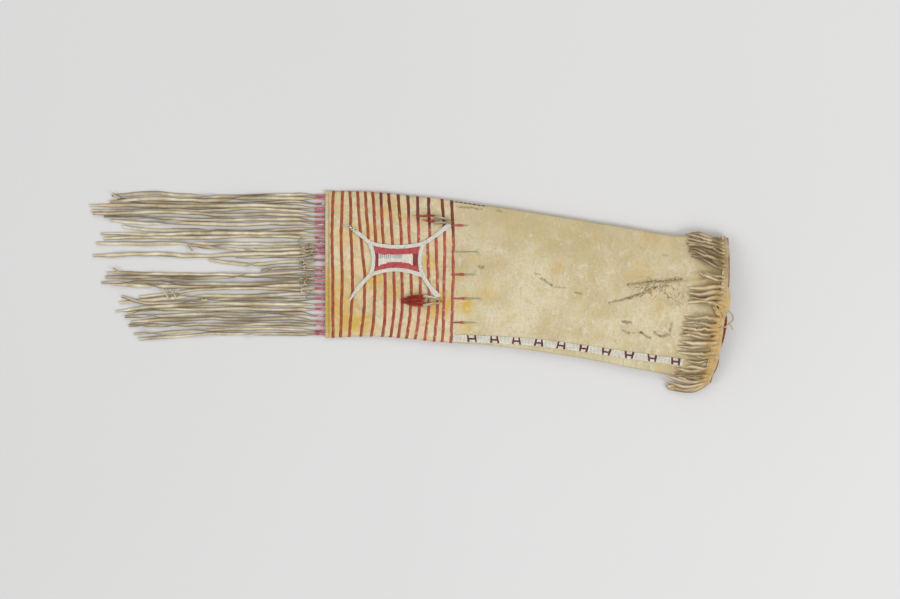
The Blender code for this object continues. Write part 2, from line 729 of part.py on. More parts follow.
def make_figure(materials, collection):
    """The applied panel: a white beaded border with four rays, and the quilled field inside it."""
    lift = GAP + LINE_THICK + GAP
    outer, inner, field_loop = figure_loops()
    frame = finish("motif_frame", flat_sheet((outer, inner), lift), [materials["white_beads"]], collection)
    solidify(frame, BORDER_THICK, 1)
    field = finish("motif_field", flat_sheet((field_loop,), lift), [materials["red_quill"]], collection)
    solidify(field, FIELD_THICK, 1)


def make_tin_cones(materials, collection):
    """Four slender cones of sheet tin, in two pairs."""
    for number, (tip, base) in enumerate(CONES, start=1):
        high, low = cone_axis(tip, base)
        run = low - high
        bpy.ops.mesh.primitive_cone_add(
            vertices=10,
            radius1=CONE_TIP,
            radius2=CONE_BASE,
            depth=run.length,
            end_fill_type="NOTHING",
            location=(high + low) / 2,
            rotation=run.to_track_quat("Z", "Y").to_euler(),
        )
        cone = bpy.context.object
        rename(cone, f"tin_cone_{number:02d}", materials["tin"], collection)
        solidify(cone, TIN, -1)


def cone_axis(tip, base):
    """The two ends of a cone's axis, resting on what lies under it."""
    over_figure = GAP + LINE_THICK + GAP + BORDER_THICK + GAP
    over_lines = GAP + LINE_THICK + GAP + CONE_CLEAR
    high = on_front(HEM_X + tip[0], tip[1], over_figure + CONE_TIP)
    low = on_front(HEM_X + base[0], base[1], over_lines + CONE_BASE)
    return high, low


def tapered_tube(points, radii):
    """A closed mesh tube through the points, its radius set at each."""
    curve = bpy.data.curves.new("strand", "CURVE")
    curve.dimensions = "3D"
    curve.bevel_depth = 1.0
    curve.bevel_resolution = 1
    curve.use_fill_caps = True
    spline = curve.splines.new("POLY")
    spline.points.add(len(points) - 1)
    for point, at, radius in zip(spline.points, points, radii):
        point.co = (*at, 1)
        point.radius = radius
    holder = bpy.data.objects.new("strand", curve)
    bpy.context.scene.collection.objects.link(holder)
    bpy.context.view_layer.update()
    mesh = bpy.data.meshes.new_from_object(holder.evaluated_get(bpy.context.evaluated_depsgraph_get()))
    bpy.data.objects.remove(holder, do_unlink=True)
    bm = bmesh.new()
    bm.from_mesh(mesh)
    bpy.data.meshes.remove(mesh)
    bmesh.ops.remove_doubles(bm, verts=bm.verts, dist=1e-6)
    bmesh.ops.recalc_face_normals(bm, faces=bm.faces)
    return bm


def make_hair_tufts(materials, collection, cutters):
    """Each tuft is one doubled thong: a knot, two legs through two cones, and hair on both."""
    over_lines = GAP + LINE_THICK + GAP
    for pair in range(2):
        legs = []
        knot_at = Vector((0, 0, 0))
        for side in range(2):
            index = 2 * pair + side
            high, low = cone_axis(*CONES[index])
            knot_at += (high + (high - low).normalized() * KNOT_REACH) / 2
        for side in range(2):
            index = 2 * pair + side
            high, low = cone_axis(*CONES[index])
            run = (low - high).normalized()
            end_x, end_y = HAIR_ENDS[index]
            hair = HAIR_RADII[index]
            end = on_front(HEM_X + end_x, end_y, over_lines + LEG_RADIUS)
            swell = on_front(*low.lerp(end, 0.4).to_2d(), over_lines + hair)
            points = [knot_at, high, low - run * 0.001, low + run * 0.0012, swell, end]
            radii = [LEG_RADIUS, LEG_RADIUS, LEG_RADIUS, hair * 0.6, hair, LEG_RADIUS]
            legs.append(tapered_tube(points, radii))
        knot = bmesh.new()
        bmesh.ops.create_icosphere(knot, subdivisions=1, radius=KNOT_RADIUS)
        bmesh.ops.translate(knot, vec=knot_at, verts=knot.verts)
        tuft = finish(f"hair_tuft_{pair + 1:02d}", knot, [materials["hair"]], collection)
        for n, leg in enumerate(legs):
            tool = finish(f"tuft_{pair + 1}_leg_{n + 1}", leg, [], cutters, smooth=False)
            tool.hide_render = True
            tool.display_type = "WIRE"
            join = tuft.modifiers.new(f"leg_{n + 1}", "BOOLEAN")
            join.operation = "UNION"
            join.solver = "EXACT"
            join.object = tool


def main():
    clear_scene()
    collection = make_collection(COLLECTION)
    cutters = make_collection(COLLECTION + "_tools")
    materials = make_materials()
    make_bag_body(materials, collection, cutters)
    make_fringe_panel(materials, collection)
    make_quill_wraps(materials, collection)
    make_quill_lines(materials, collection)
    make_front_collar(materials, collection)
    make_back_collar(materials, collection)
    make_mouth_edging(materials, collection)
    make_tie_thong(materials, collection)
    make_bead_lane(materials, collection)
    make_figure(materials, collection)
    make_tin_cones(materials, collection)
    make_hair_tufts(materials, collection, cutters)


main()
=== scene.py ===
"""Beaded pipe bag of tanned hide: its hide, fringe, quill lines, beads, cones and hair.

Metres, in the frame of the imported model: +X from the long fringe to the mouth, +Z up.
"""

import math
import random

import bpy
import numpy as np
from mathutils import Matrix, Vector, noise


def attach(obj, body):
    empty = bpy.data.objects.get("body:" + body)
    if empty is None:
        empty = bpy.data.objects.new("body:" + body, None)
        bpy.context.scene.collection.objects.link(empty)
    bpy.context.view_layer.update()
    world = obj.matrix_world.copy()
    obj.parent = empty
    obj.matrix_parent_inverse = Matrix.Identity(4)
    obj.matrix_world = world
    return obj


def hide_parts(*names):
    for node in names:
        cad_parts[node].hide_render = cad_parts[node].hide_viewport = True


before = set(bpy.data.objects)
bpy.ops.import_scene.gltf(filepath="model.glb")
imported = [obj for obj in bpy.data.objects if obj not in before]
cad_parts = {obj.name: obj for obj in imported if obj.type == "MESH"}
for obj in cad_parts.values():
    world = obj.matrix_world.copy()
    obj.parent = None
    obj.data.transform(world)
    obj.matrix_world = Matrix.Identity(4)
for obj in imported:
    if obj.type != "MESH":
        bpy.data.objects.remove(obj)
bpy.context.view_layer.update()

bl_info = {
    "name": "Beaded Pipe Bag",
    "version": (1, 0, 0),
    "blender": (4, 5, 0),
    "location": "View3D > Sidebar > Pipe Bag",
    "description": "Makes the hide, fringe, quill lines and beads of a pipe bag",
    "category": "Object",
}

BODY = "root"

# The bag's section, from the hem, share 0, to the mouth, share 1
BAG_LENGTH = 0.471
HEM_X = -0.1014
FRONT_FULLNESS = 2.6
FOLD_SHARE = 0.26
FOLD_LEAST = 0.0013
CENTRE_Y = (
    (0, 0.0318), (0.12, 0.0322), (0.33, 0.0228), (0.55, 0.0102),
    (0.75, -0.006), (0.87, -0.0158), (1, -0.0234),
)
HALF_WIDTH = (
    (0, 0.0884), (0.12, 0.0866), (0.33, 0.0852), (0.55, 0.0824),
    (0.75, 0.0828), (0.87, 0.0834), (1, 0.088),
)
HEIGHT = (
    (0, 0.005), (0.05, 0.0082), (0.12, 0.012), (0.33, 0.017),
    (0.55, 0.021), (0.75, 0.0235), (1, 0.028),
)
TURN_DEG = ((0, 0), (0.33, 0), (0.55, 3), (0.75, 5), (1, 7))
BOW = ((0, 0), (0.8, 0), (1, 0.008))
COLLAR_THICK = 0.0012
GAP = 0.0003
LIFT_START = 0.78
LIFT_END = 0.88
# Places round the bag: -1 to 1 over the front, to FOLD_END down each side fold, to 2 under the back
FOLD_END = 1.2
BACK_MIDDLE = 2.0
# The skin's samples along the bag and round it, and how many samples soften each side fold
SHARE_STEPS = 240
ROUND_STEPS = 400
FOLD_SOFT = 6
# The hide's faces along it and round it, and where their columns fall: closer at the side folds
HIDE_ROWS = 225
HIDE_COLUMNS = 180
HIDE_COLUMN_PLACES = (
    (0, -BACK_MIDDLE), (0.06, -FOLD_END), (0.14, -1.02), (0.17, -0.94),
    (0.83, 0.94), (0.86, 1.02), (0.94, FOLD_END), (1, BACK_MIDDLE),
)
# How the hide stands off its plain form: how many waves to a metre and how high, or pitch and height
SAG = (21.0, 0.0013)
DENT = (62.0, 0.0005)
PUCKER = (0.0062, 0.0004)
PUCKER_REACH = 0.016
GATHER = (0.0170, 0.0010)
GROOVE_WIDTH = 0.0024
GROOVE_DEPTH = 0.0004

# Quilled lines: distance from the hem at the +Y edge and at the -Y edge
LINE_ENDS = (
    (0.0098, 0.0094), (0.0205, 0.0180), (0.0294, 0.0283), (0.0388, 0.0424), (0.0479, 0.0544),
    (0.0570, 0.0677), (0.0668, 0.0772), (0.0759, 0.0863), (0.0876, 0.0960), (0.0992, 0.1064),
    (0.1110, 0.1182), (0.1240, 0.1298), (0.1396, 0.1396), (0.1513, 0.1500),
)
LINE_WIDTH = 0.0037
# How far each line bends towards the mouth above the middle and below it
LINE_BENDS = (
    (-0.0016, -0.0007), (-0.0006, 0.0010), (0.0018, 0.0036), (0.0023, 0.0062), (0.0013, 0.0076),
    (0.0, 0.0082), (-0.0005, 0.0096), (0.0012, 0.0102), (0.0011, 0.0102), (0.0, 0.0104),
    (-0.0006, 0.0092), (0.0005, 0.0075), (0.0040, 0.0029), (0.0030, 0.0029),
)
BEND_HIGH = 0.45
BEND_LOW = -0.20
# The lines that stop at the figure, and the places round the bag where their lower part ends
# and their upper part starts; most do both at CUT_HIGH
CUT_LINES = (4, 11)
CUT_HIGH = 0.10
CUT_ELSEWHERE = {4: (-0.12, 0.34), 10: (0.42, 0.10), 11: (0.50, 0.42)}
LINE_THICK = 0.0007
LINE_END_ROUND = 1.13
QUILL_WALL = 0.00025
# The quilled band's section: place across its half-width and share of its full height
QUILL_PROFILE = ((-1, 0.05), (-0.86, 0.55), (-0.4, 0.92), (0, 1), (0.4, 0.92), (0.86, 0.55), (1, 0.05))
# Five short bands, called ticks, that stand on the last line
TICK_Y = (0.0785, 0.0469, 0.0197, -0.0090, -0.0377)
TICK_WIDTH = 0.0028
# How far each tick reaches, and the share of it that is still red
TICK_REACH = (0.0210, 0.0320, 0.0270, 0.0360, 0.0300)
TICK_RED = (0.66, 0.04, 0.55, 0.42, 0.46)
# Shares of a tick's width: from its root to its tip, and what is left of one that is worn away
TICK_SHAPE = ((0, 0.6), (0.3, 0.9), (0.45, 1.3), (0.6, 1.0), (1, 0.35))
TICK_WORN_WIDTH = 0.55
TICK_STEPS = 46

# The long fringe: X of five stations, the first below the wraps; each thong's Y there, and its tip
THONG_STATIONS_X = (-0.1142, -0.1320, -0.1920, -0.2460, -0.3120)
THONGS = (
    (0.1146, 0.1158, 0.1140, 0.1134, 0.1182, -0.3576, 0.1140),
    (0.1110, 0.1110, 0.1110, 0.1092, 0.1106, -0.3600, 0.1074),
    (0.1044, 0.1068, 0.1056, 0.1050, 0.1058, -0.3504, 0.1092),
    (0.0990, 0.1008, 0.1026, 0.1020, 0.1020, -0.3840, 0.1026),
    (0.0948, 0.0960, 0.0984, 0.0966, 0.0966, -0.3816, 0.0960),
    (0.0888, 0.0906, 0.0918, 0.0924, 0.0940, -0.3804, 0.0930),
    (0.0828, 0.0858, 0.0858, 0.0858, 0.0870, -0.3672, 0.0900),
    (0.0792, 0.0810, 0.0798, 0.0810, 0.0806, -0.3600, 0.0852),
    (0.0744, 0.0744, 0.0714, 0.0726, 0.0724, -0.3444, 0.0768),
    (0.0690, 0.0696, 0.0690, 0.0684, 0.0676, -0.3708, 0.0684),
    (0.0642, 0.0642, 0.0660, 0.0642, 0.0646, -0.3672, 0.0624),
    (0.0588, 0.0570, 0.0570, 0.0570, 0.0570, -0.3756, 0.0564),
    (0.0534, 0.0504, 0.0486, 0.0456, 0.0492, -0.2640, 0.0540),
    (0.0498, 0.0456, 0.0444, 0.0414, 0.0438, -0.3804, 0.0426),
    (0.0450, 0.0414, 0.0408, 0.0408, 0.0408, -0.2088, 0.0408),
    (0.0372, 0.0354, 0.0324, 0.0314, 0.0366, -0.2412, 0.0372),
    (0.0282, 0.0276, 0.0252, 0.0252, 0.0252, -0.1788, 0.0252),
    (0.0234, 0.0228, 0.0192, 0.0192, 0.0206, -0.3636, 0.0216),
    (0.0180, 0.0174, 0.0174, 0.0162, 0.0166, -0.3654, 0.0168),
    (0.0132, 0.0120, 0.0084, 0.0084, 0.0104, -0.3702, 0.0096),
    (0.0078, 0.0066, 0.0054, 0.0048, 0.0062, -0.3576, 0.0078),
    (0.0024, 0.0012, 0.0030, 0.0018, -0.0012, -0.3240, -0.0072),
    (-0.0048, -0.0036, -0.0060, -0.0060, -0.0112, -0.3480, -0.0138),
    (-0.0096, -0.0102, -0.0102, -0.0108, -0.0146, -0.3456, -0.0060),
    (-0.0162, -0.0162, -0.0156, -0.0162, -0.0196, -0.3528, -0.0240),
    (-0.0222, -0.0222, -0.0216, -0.0216, -0.0238, -0.3396, -0.0264),
    (-0.0300, -0.0264, -0.0276, -0.0276, -0.0298, -0.3420, -0.0312),
    (-0.0366, -0.0336, -0.0342, -0.0336, -0.0350, -0.3348, -0.0372),
    (-0.0414, -0.0402, -0.0402, -0.0408, -0.0408, -0.3372, -0.0414),
    (-0.0480, -0.0468, -0.0462, -0.0474, -0.0500, -0.3312, -0.0510),
    (-0.0519, -0.0516, -0.0516, -0.0522, -0.0546, -0.3252, -0.0576),
)
# A cut strip's faces across it, and how much painted shade darkens its edges
RIBBON_COLUMNS = 4
EDGE_SHADE = 0.6
THONG_THICK = 0.0009
THONG_STEPS = 96
CORE_WIDTH = 0.0013
TIP_WIDTH = 0.0024
CROSSING_REACH = 0.0036
CROSSING_RISE = 0.0022
CURL_STEPS = 40
CURL_WIDTH = 0.0014
SPUR_WIDTH = 0.0024
CURLS = 17
CURL_SPAN = (0.0560, -0.0080)
# Short cut ends that stand off the thongs: X and Y of three points each
SPURS = (
    ((-0.2964, 0.0030), (-0.2926, -0.0030), (-0.2890, -0.0100)),
    ((-0.2880, 0.0024), (-0.2830, -0.0024), (-0.2800, -0.0080)),
    ((-0.2770, 0.0010), (-0.2826, -0.0020), (-0.2900, -0.0036)),
    ((-0.3564, 0.0276), (-0.3520, 0.0246), (-0.3470, 0.0226)),
    ((-0.2676, 0.0552), (-0.2640, 0.0516), (-0.2610, 0.0480)),
    ((-0.2500, -0.0096), (-0.2470, -0.0110), (-0.2440, -0.0100)),
    ((-0.3564, 0.1176), (-0.3530, 0.1140), (-0.3480, 0.1116)),
)
WRAP_START = 0.0008
WRAP_LENGTH = 0.0120
WRAP_RADIUS = 0.00140
WRAP_TURNS = 13
WRAP_STEPS = 78
WRAP_SIDES = 14
ROOT_Z = 0.0016

# The collar: the header's outer edge (Y, X), then groups of strands
HEADER_DEPTH = 0.0066
HEADER_DEEPER = 0.0034
HEADER_EDGE = (
    (-0.1112, 0.3588), (-0.1068, 0.3594), (-0.0960, 0.3640), (-0.0792, 0.3696), (-0.0768, 0.3684),
    (-0.0708, 0.3708), (-0.0588, 0.3724), (-0.0468, 0.3740), (-0.0348, 0.3756), (-0.0264, 0.3786),
    (-0.0228, 0.3812), (-0.0108, 0.3822), (0.0, 0.3818), (0.0072, 0.3790), (0.0132, 0.3802),
    (0.0252, 0.3790), (0.0348, 0.3800), (0.0432, 0.3812), (0.0552, 0.3818), (0.0648, 0.3806),
)
# First and last root Y, first and last tip (X, Y), how many, width, lift
STRAND_GROUPS = (
    (0.0590, 0.0260, (0.3290, 0.0690), (0.3360, 0.0402), 10, 0.0046, 0.0046),
    (0.0150, 0.0118, (0.3440, 0.0216), (0.3470, 0.0190), 2, 0.0044, 0.0034),
    (0.0040, -0.0150, (0.3340, 0.0030), (0.3340, -0.0150), 4, 0.0058, 0.0026),
    (-0.0196, -0.0318, (0.3560, -0.0150), (0.3620, -0.0216), 4, 0.0034, 0.0026),
    (-0.0350, -0.0520, (0.3270, -0.0320), (0.3260, -0.0490), 4, 0.0052, 0.0040),
    (-0.0560, -0.0740, (0.3220, -0.0540), (0.3210, -0.0720), 4, 0.0054, 0.0036),
    (-0.0780, -0.0900, (0.3330, -0.0780), (0.3330, -0.0900), 3, 0.0042, 0.0024),
    (-0.0930, -0.1050, (0.3180, -0.0930), (0.3190, -0.1020), 4, 0.0046, 0.0034),
)
SIDE_STRANDS = (
    ((0.3560, -0.1080, 0.0100), (0.3330, -0.1090, 0.0074), (0.3050, -0.1010, 0.0150)),
    ((0.3560, -0.1100, 0.0070), (0.3300, -0.1150, 0.0060), (0.3070, -0.1085, 0.0060)),
    ((0.3560, -0.1110, 0.0050), (0.3340, -0.1190, 0.0040), (0.3090, -0.1160, 0.0030)),
)
SIDE_LOOP = (
    (0.3540, -0.1120, 0.0060), (0.3400, -0.1196, 0.0048), (0.3220, -0.1190, 0.0036),
    (0.3100, -0.1160, 0.0030), (0.3098, -0.1140, 0.0030), (0.3200, -0.1136, 0.0036),
    (0.3360, -0.1140, 0.0046),
)
# The strands that hang at the side and lie at the back
LOOSE_STRAND_WIDTH = 0.0040
BACK_STRANDS = 30
BACK_LENGTH = 0.042
BACK_MARGIN = 0.012
BACK_HEADER = (0.0115, 0.006, 0.0006)

# The rim's binding, and the lace's course: X, Y and height over the header
BINDING_STEPS = 220
BINDING_DEPTH = 0.0013
LACE_KNOTS = (
    (0.3748, -0.0236, 0.0024), (0.3800, -0.0246, 0.0024), (0.3846, -0.0290, 0.0010),
    (0.3850, -0.0346, -0.0004), (0.3806, -0.0392, 0.0010), (0.3752, -0.0436, 0.0024),
)
LACE_TAIL = ((0.3806, -0.0392, 0.0020), (0.3836, -0.0430, 0.0010), (0.3852, -0.0468, 0.0000))
LACE_WIDTH = 0.0019
LACE_TAIL_WIDTH = 0.0014

# The bead lane near the -Y edge
LANE_LINE_GAP = 0.0014
LANE_MOUTH_GAP = 0.0367
LANE_T_START = -0.925
LANE_T_END = -0.785
LANE_BEADS = 8
LANE_BEAD = 0.0010
LANE_FIGURES = 10
LANE_FIRST = 0.0230
LANE_PITCH = 0.0277
ROW_PITCH = 0.00115
BEAD_ALONG_THREAD = 0.00108
BEAD_SIZE = 0.00132
LANE_HUMP = 0.0005
POST_ROWS = 2
WEB_ROWS = 5

# The beaded figure, in metres from its own middle
FIGURE_CENTRE = (0.0858, 0.0384)
FIGURE_CORNERS = ((0.0325, 0.0185), (-0.0325, 0.0190), (-0.0315, -0.0190), (0.0315, -0.0205))
FIGURE_TIPS = ((0.0632, 0.0415), (-0.0628, 0.0420), (-0.0562, -0.0492), (0.0500, -0.0458))
SIDE_SAGS = (0.0045, 0.0042, 0.0068, 0.0046)
BORDER_BEADS = 4
FIELD_WINDOW = ((-0.0217, 0.0192), (-0.0036, 0.0050))
# How much lower and higher the window's edges lie at its two ends
WINDOW_BOW = (0.0038, 0.0008)
HATCH_FLOOR = 0.0006
HATCH_END = 0.0070
# Beads across each ray at its corner and at its tip, and the share from which it is worn
RAY_SPREAD = ((4, 5, 2.0), (4, 3, 0.55), (4, 2, 2.0), (4, 7, 2.0))
BEAD_ROOM = 0.00082

# Tin cones: tip and base as distance from the hem and Y; hair: where each leg's hair ends
CONES = (
    ((0.1492, 0.0842), (0.1302, 0.0884)),
    ((0.1486, 0.0810), (0.1300, 0.0812)),
    ((0.1372, -0.0098), (0.1180, -0.0052)),
    ((0.1372, -0.0136), (0.1176, -0.0168)),
)
HAIR_ENDS = ((0.1048, 0.0902), (0.1158, 0.0850), (0.0905, -0.0104), (0.0915, -0.0130))
HAIR_SPREAD = (0.0014, 0.0013, 0.0028, 0.0028)
HAIR_COUNT = (26, 22, 120, 120)
CONE_BASE = 0.0019
CONE_TIP = 0.0011
TIN_WALL = 0.00018
# The rolled sheet's turn starts at this angle, and laps over its own start by this much
LAP_START = 0.5
LAP = 0.7
# The tufts: how far the knot stands past the cones' tips, and the parts' radii
KNOT_REACH = 0.0030
KNOT_RADIUS = 0.0011
LEG_RADIUS = 0.0005
HAIR_RADIUS = 0.00017

# Stitches: how far from the hem or the mouth, pitch and length round the bag, radius
HEM_STITCH = (0.0036, 0.034, 0.017, 0.00032)
HEADER_STITCH = (0.0030, 0.042, 0.020, 0.00024)
# Dark stitches beside the +Y fold: how many, first one's place from the hem, pitch, length, radius
SIDE_STITCH = (7, 0.1555, 0.0052, 0.0035, 0.00055)

# The camera: where the picture's middle falls and how wide the picture is
PICTURE_MIDDLE = (0.0480, -0.0102)
PICTURE_WIDTH = 1.08
CAMERA_HEIGHT = 5.0
SENSOR = 36.0
FLOOR_SIZE = 14
FLOOR_DROP = 0.0003
SKY_STRENGTH = 0.58
# The soft lamps: place, size and power
LAMPS = (
    ((2.0, -1.2, 1.9), 1.3, 29.0),
    ((0.6, 2.2, 1.8), 1.6, 13.5),
    ((-1.8, -0.8, 2.2), 1.6, 12.5),
)


def paint(red, green, blue):
    """The linear colour of an 8-bit one."""
    linear = [((c / 255 + 0.055) / 1.055) ** 2.4 if c > 10 else c / 3295 for c in (red, green, blue)]
    return (*linear, 1.0)


class Value:
    """A shader socket that takes part in Python arithmetic."""

    def __init__(self, finish, socket):
        self.finish = finish
        self.socket = socket

    def math(self, operation, other):
        return self.finish.node("ShaderNodeMath", {"operation": operation}, {0: self, 1: other})

    def __add__(self, other):
        return self.math("ADD", other)

    def __sub__(self, other):
        return self.math("SUBTRACT", other)

    def __mul__(self, other):
        return self.math("MULTIPLY", other)

    def most(self, other):
        return self.math("MAXIMUM", other)

    def least(self, other):
        return self.math("MINIMUM", other)

    def span(self, low, high, to_low=0.0, to_high=1.0):
        """Eases from to_low to to_high as this goes from low to high."""
        settings = {"interpolation_type": "SMOOTHSTEP"}
        return self.finish.node(
            "ShaderNodeMapRange", settings, {0: self, 1: low, 2: high, 3: to_low, 4: to_high}
        )


class Finish:
    """One material, and the nodes that feed its shader."""

    def __init__(self, name, **constants):
        self.material = bpy.data.materials.new(name)
        self.material.use_nodes = True
        self.tree = self.material.node_tree
        self.shader = self.tree.nodes["Principled BSDF"]
        for socket, value in constants.items():
            self.shader.inputs[socket.replace("_", " ")].default_value = value

    def node(self, kind, settings=None, inputs=None, output=0):
        """Adds a node, sets it, feeds its sockets, and gives one of its outputs."""
        made = self.tree.nodes.new(kind)
        for name, value in (settings or {}).items():
            setattr(made, name, value)
        for key, value in (inputs or {}).items():
            self.feed(made.inputs[key], value)
        return Value(self, made.outputs[output])

    def feed(self, socket, value):
        if isinstance(value, Value):
            self.tree.links.new(value.socket, socket)
        else:
            socket.default_value = value

    def place(self):
        """Object coordinates, in metres."""
        return self.node("ShaderNodeTexCoord", output=3)

    def lay(self):
        """Coordinates that follow a strip: metres along it, metres across it, and its own number."""
        return self.node("ShaderNodeAttribute", {"attribute_name": "lay"}, output=1)

    def level(self, name):
        """A number that the mesh carries at each point."""
        return self.node("ShaderNodeAttribute", {"attribute_name": name}, output=2)

    def vector_math(self, operation, first, second, output=0):
        inputs = {0: first, 1: second}
        return self.node("ShaderNodeVectorMath", {"operation": operation}, inputs, output)

    def stretch(self, vector, scale):
        return self.vector_math("MULTIPLY", vector, scale)

    def cloud(self, vector, scale, detail=3.0, rough=0.5, twist=0.0):
        inputs = {"Vector": vector, "Scale": scale, "Detail": detail, "Roughness": rough}
        return self.node("ShaderNodeTexNoise", None, inputs | {"Distortion": twist})

    def warp(self, vector, scale, reach):
        """The vector, pushed about by a cloud."""
        inputs = {"Vector": vector, "Scale": scale, "Detail": 2.0}
        push = self.node("ShaderNodeTexNoise", None, inputs, 1)
        centred = self.vector_math("SUBTRACT", push, (0.5, 0.5, 0.5))
        return self.vector_math("ADD", vector, self.stretch(centred, (reach, reach, 0.0)))

    def split(self, vector, axis):
        return self.node("ShaderNodeSeparateXYZ", None, {0: vector}, axis)

    def spot(self, vector, x, y, reach):
        """1 at a point of the front, falling to 0 at the given reach."""
        flat = self.stretch(vector, (1.0, 1.0, 0.0))
        away = self.vector_math("DISTANCE", flat, (x, y, 0.0), 1)
        return away.span(reach, 0.15 * reach)

    def stroke(self, vector, start, end, reach):
        """1 along a line from start to end on the front, falling to 0 at the given reach."""
        flat = self.stretch(vector, (1.0, 1.0, 0.0))
        run = (end[0] - start[0], end[1] - start[1], 0.0)
        size = run[0] ** 2 + run[1] ** 2
        from_start = self.vector_math("SUBTRACT", flat, (start[0], start[1], 0.0))
        scaled = (run[0] / size, run[1] / size, 0.0)
        share = self.vector_math("DOT_PRODUCT", from_start, scaled, 1)
        inside = share.most(0.0).least(1.0)
        spread = self.node("ShaderNodeCombineXYZ", None, {0: inside, 1: inside, 2: 0.0})
        away = self.vector_math("DISTANCE", from_start, self.stretch(spread, run), 1)
        return away.span(reach, 0.0)

    def mix(self, factor, first, second):
        """Colour first where factor is 0 and second where it is 1."""
        settings = {"data_type": "RGBA", "clamp_factor": True}
        return self.node("ShaderNodeMix", settings, {0: factor, 6: first, 7: second}, 2)

    def bump(self, height, reach, strength):
        inputs = {"Height": height, "Distance": reach, "Strength": strength}
        self.feed(self.shader.inputs["Normal"], self.node("ShaderNodeBump", None, inputs))

    def colour(self, value):
        self.feed(self.shader.inputs["Base Color"], value)

    def rough(self, value):
        self.feed(self.shader.inputs["Roughness"], value)


# Ochre and yellow stains on the front: X, Y, reach, strength
OCHRE_SPOTS = (
    (0.1757, 0.0283, 0.014, 0.75), (0.2197, 0.0614, 0.014, 0.50), (0.2860, 0.0632, 0.020, 0.50),
    (0.2767, 0.0238, 0.020, 0.60), (0.2014, -0.0029, 0.014, 0.30), (0.2270, -0.0264, 0.016, 0.22),
    (0.3480, 0.0012, 0.018, 0.35), (0.1992, 0.0761, 0.020, 0.35), (0.1200, 0.0865, 0.026, 0.22),
    (0.2970, -0.0192, 0.022, 0.45), (0.1640, 0.0640, 0.030, 0.22), (0.3060, 0.0612, 0.022, 0.28),
)
YELLOW_SPOTS = (
    (0.0672, -0.0192, 0.016, 0.90), (0.0691, -0.0432, 0.014, 0.60), (0.0691, -0.0066, 0.012, 0.45),
    (0.0948, -0.0011, 0.022, 0.40), (0.0400, -0.0160, 0.024, 1.00), (0.0240, 0.0330, 0.016, 0.90),
    (-0.0420, 0.0150, 0.020, 0.95), (-0.0180, 0.0000, 0.020, 0.70), (-0.0900, 0.0000, 0.040, 0.70),
    (-0.0800, -0.0400, 0.036, 0.80), (-0.0560, -0.0380, 0.020, 0.65), (0.0260, -0.0300, 0.016, 0.60),
    (-0.0760, 0.0700, 0.020, 0.50), (-0.0420, 0.0650, 0.024, 0.45), (-0.0100, 0.0880, 0.016, 0.40),
    (0.0560, 0.0180, 0.016, 0.40), (-0.0300, 0.0960, 0.020, 0.30), (0.0080, -0.0080, 0.018, 0.45),
)
# Brown lines and marks, the first eight along the first two creases as painted crease shade: start, end,
# half-width, strength
BROWN_STROKES = (
    ((0.3240, 0.0145), (0.3006, 0.0118), 0.0026, 0.95),
    ((0.3006, 0.0118), (0.2840, 0.0109), 0.0022, 0.90),
    ((0.2840, 0.0109), (0.2602, 0.0082), 0.0018, 0.70),
    ((0.2600, 0.0080), (0.2630, 0.0030), 0.0018, 0.55),
    ((0.3079, 0.0062), (0.2933, 0.0044), 0.0026, 0.75),
    ((0.2933, 0.0044), (0.2804, -0.0011), 0.0024, 0.80),
    ((0.2804, -0.0011), (0.2621, -0.0084), 0.0022, 0.85),
    ((0.2621, -0.0084), (0.2382, -0.0139), 0.0020, 0.75),
    ((0.2528, -0.0360), (0.2639, -0.0378), 0.0020, 0.80),
    ((0.2544, -0.0468), (0.2616, -0.0504), 0.0018, 0.60),
    ((0.2616, -0.0504), (0.2767, -0.0498), 0.0018, 0.60),
    ((0.2767, -0.0498), (0.2878, -0.0571), 0.0022, 0.80),
    ((0.2923, -0.0498), (0.3006, -0.0552), 0.0020, 0.75),
    ((0.3006, -0.0552), (0.3098, -0.0506), 0.0020, 0.75),
    ((0.3098, -0.0506), (0.3126, -0.0378), 0.0020, 0.70),
    ((0.1500, 0.0210), (0.1560, 0.0190), 0.0018, 0.60),
    ((0.1570, 0.0150), (0.1620, 0.0125), 0.0020, 0.70),
    ((0.1640, 0.0100), (0.1700, 0.0065), 0.0020, 0.80),
    ((0.1740, 0.0052), (0.1850, 0.0040), 0.0018, 0.45),
    ((0.1980, -0.0018), (0.2050, -0.0035), 0.0018, 0.60),
    ((0.0830, 0.0290), (0.0880, 0.0280), 0.0024, 0.85),
    ((0.3030, 0.0430), (0.3080, 0.0420), 0.0020, 0.50),
    ((0.2760, 0.0510), (0.2800, 0.0500), 0.0018, 0.40),
    ((0.0560, 0.1010), (0.0860, 0.0985), 0.0016, 0.70),
    ((0.1050, 0.0965), (0.1090, 0.0950), 0.0016, 0.55),
)
# Blotches of dirt by the creases: X, Y, reach, strength
DIRT_SPOTS = (
    (0.2850, 0.0040, 0.020, 0.9), (0.3010, 0.0030, 0.018, 0.9), (0.3130, -0.0010, 0.016, 0.8),
    (0.2720, -0.0020, 0.014, 0.7), (0.3220, -0.0100, 0.018, 0.6), (0.3190, 0.0120, 0.014, 0.6),
    (0.2600, -0.0440, 0.016, 0.4), (0.3060, -0.0480, 0.020, 0.4),
)
GREEN_SPOTS = (
    (0.0810, 0.0460, 0.006, 0.5), (0.0760, 0.0197, 0.006, 0.5), (0.0800, 0.0790, 0.008, 0.25),
)
# Creases pressed into the front: start, end, half-width, depth
CREASES = (
    ((0.3500, 0.0160), (0.2640, 0.0090), 0.0024, 0.0020),
    ((0.3000, 0.0060), (0.2381, -0.0139), 0.0026, 0.0014),
    ((0.3360, 0.0010), (0.2950, -0.0100), 0.0060, 0.0008),
    ((0.3340, -0.0330), (0.2900, -0.0400), 0.0070, 0.0006),
    ((0.3400, 0.0500), (0.2900, 0.0420), 0.0080, 0.0006),
)


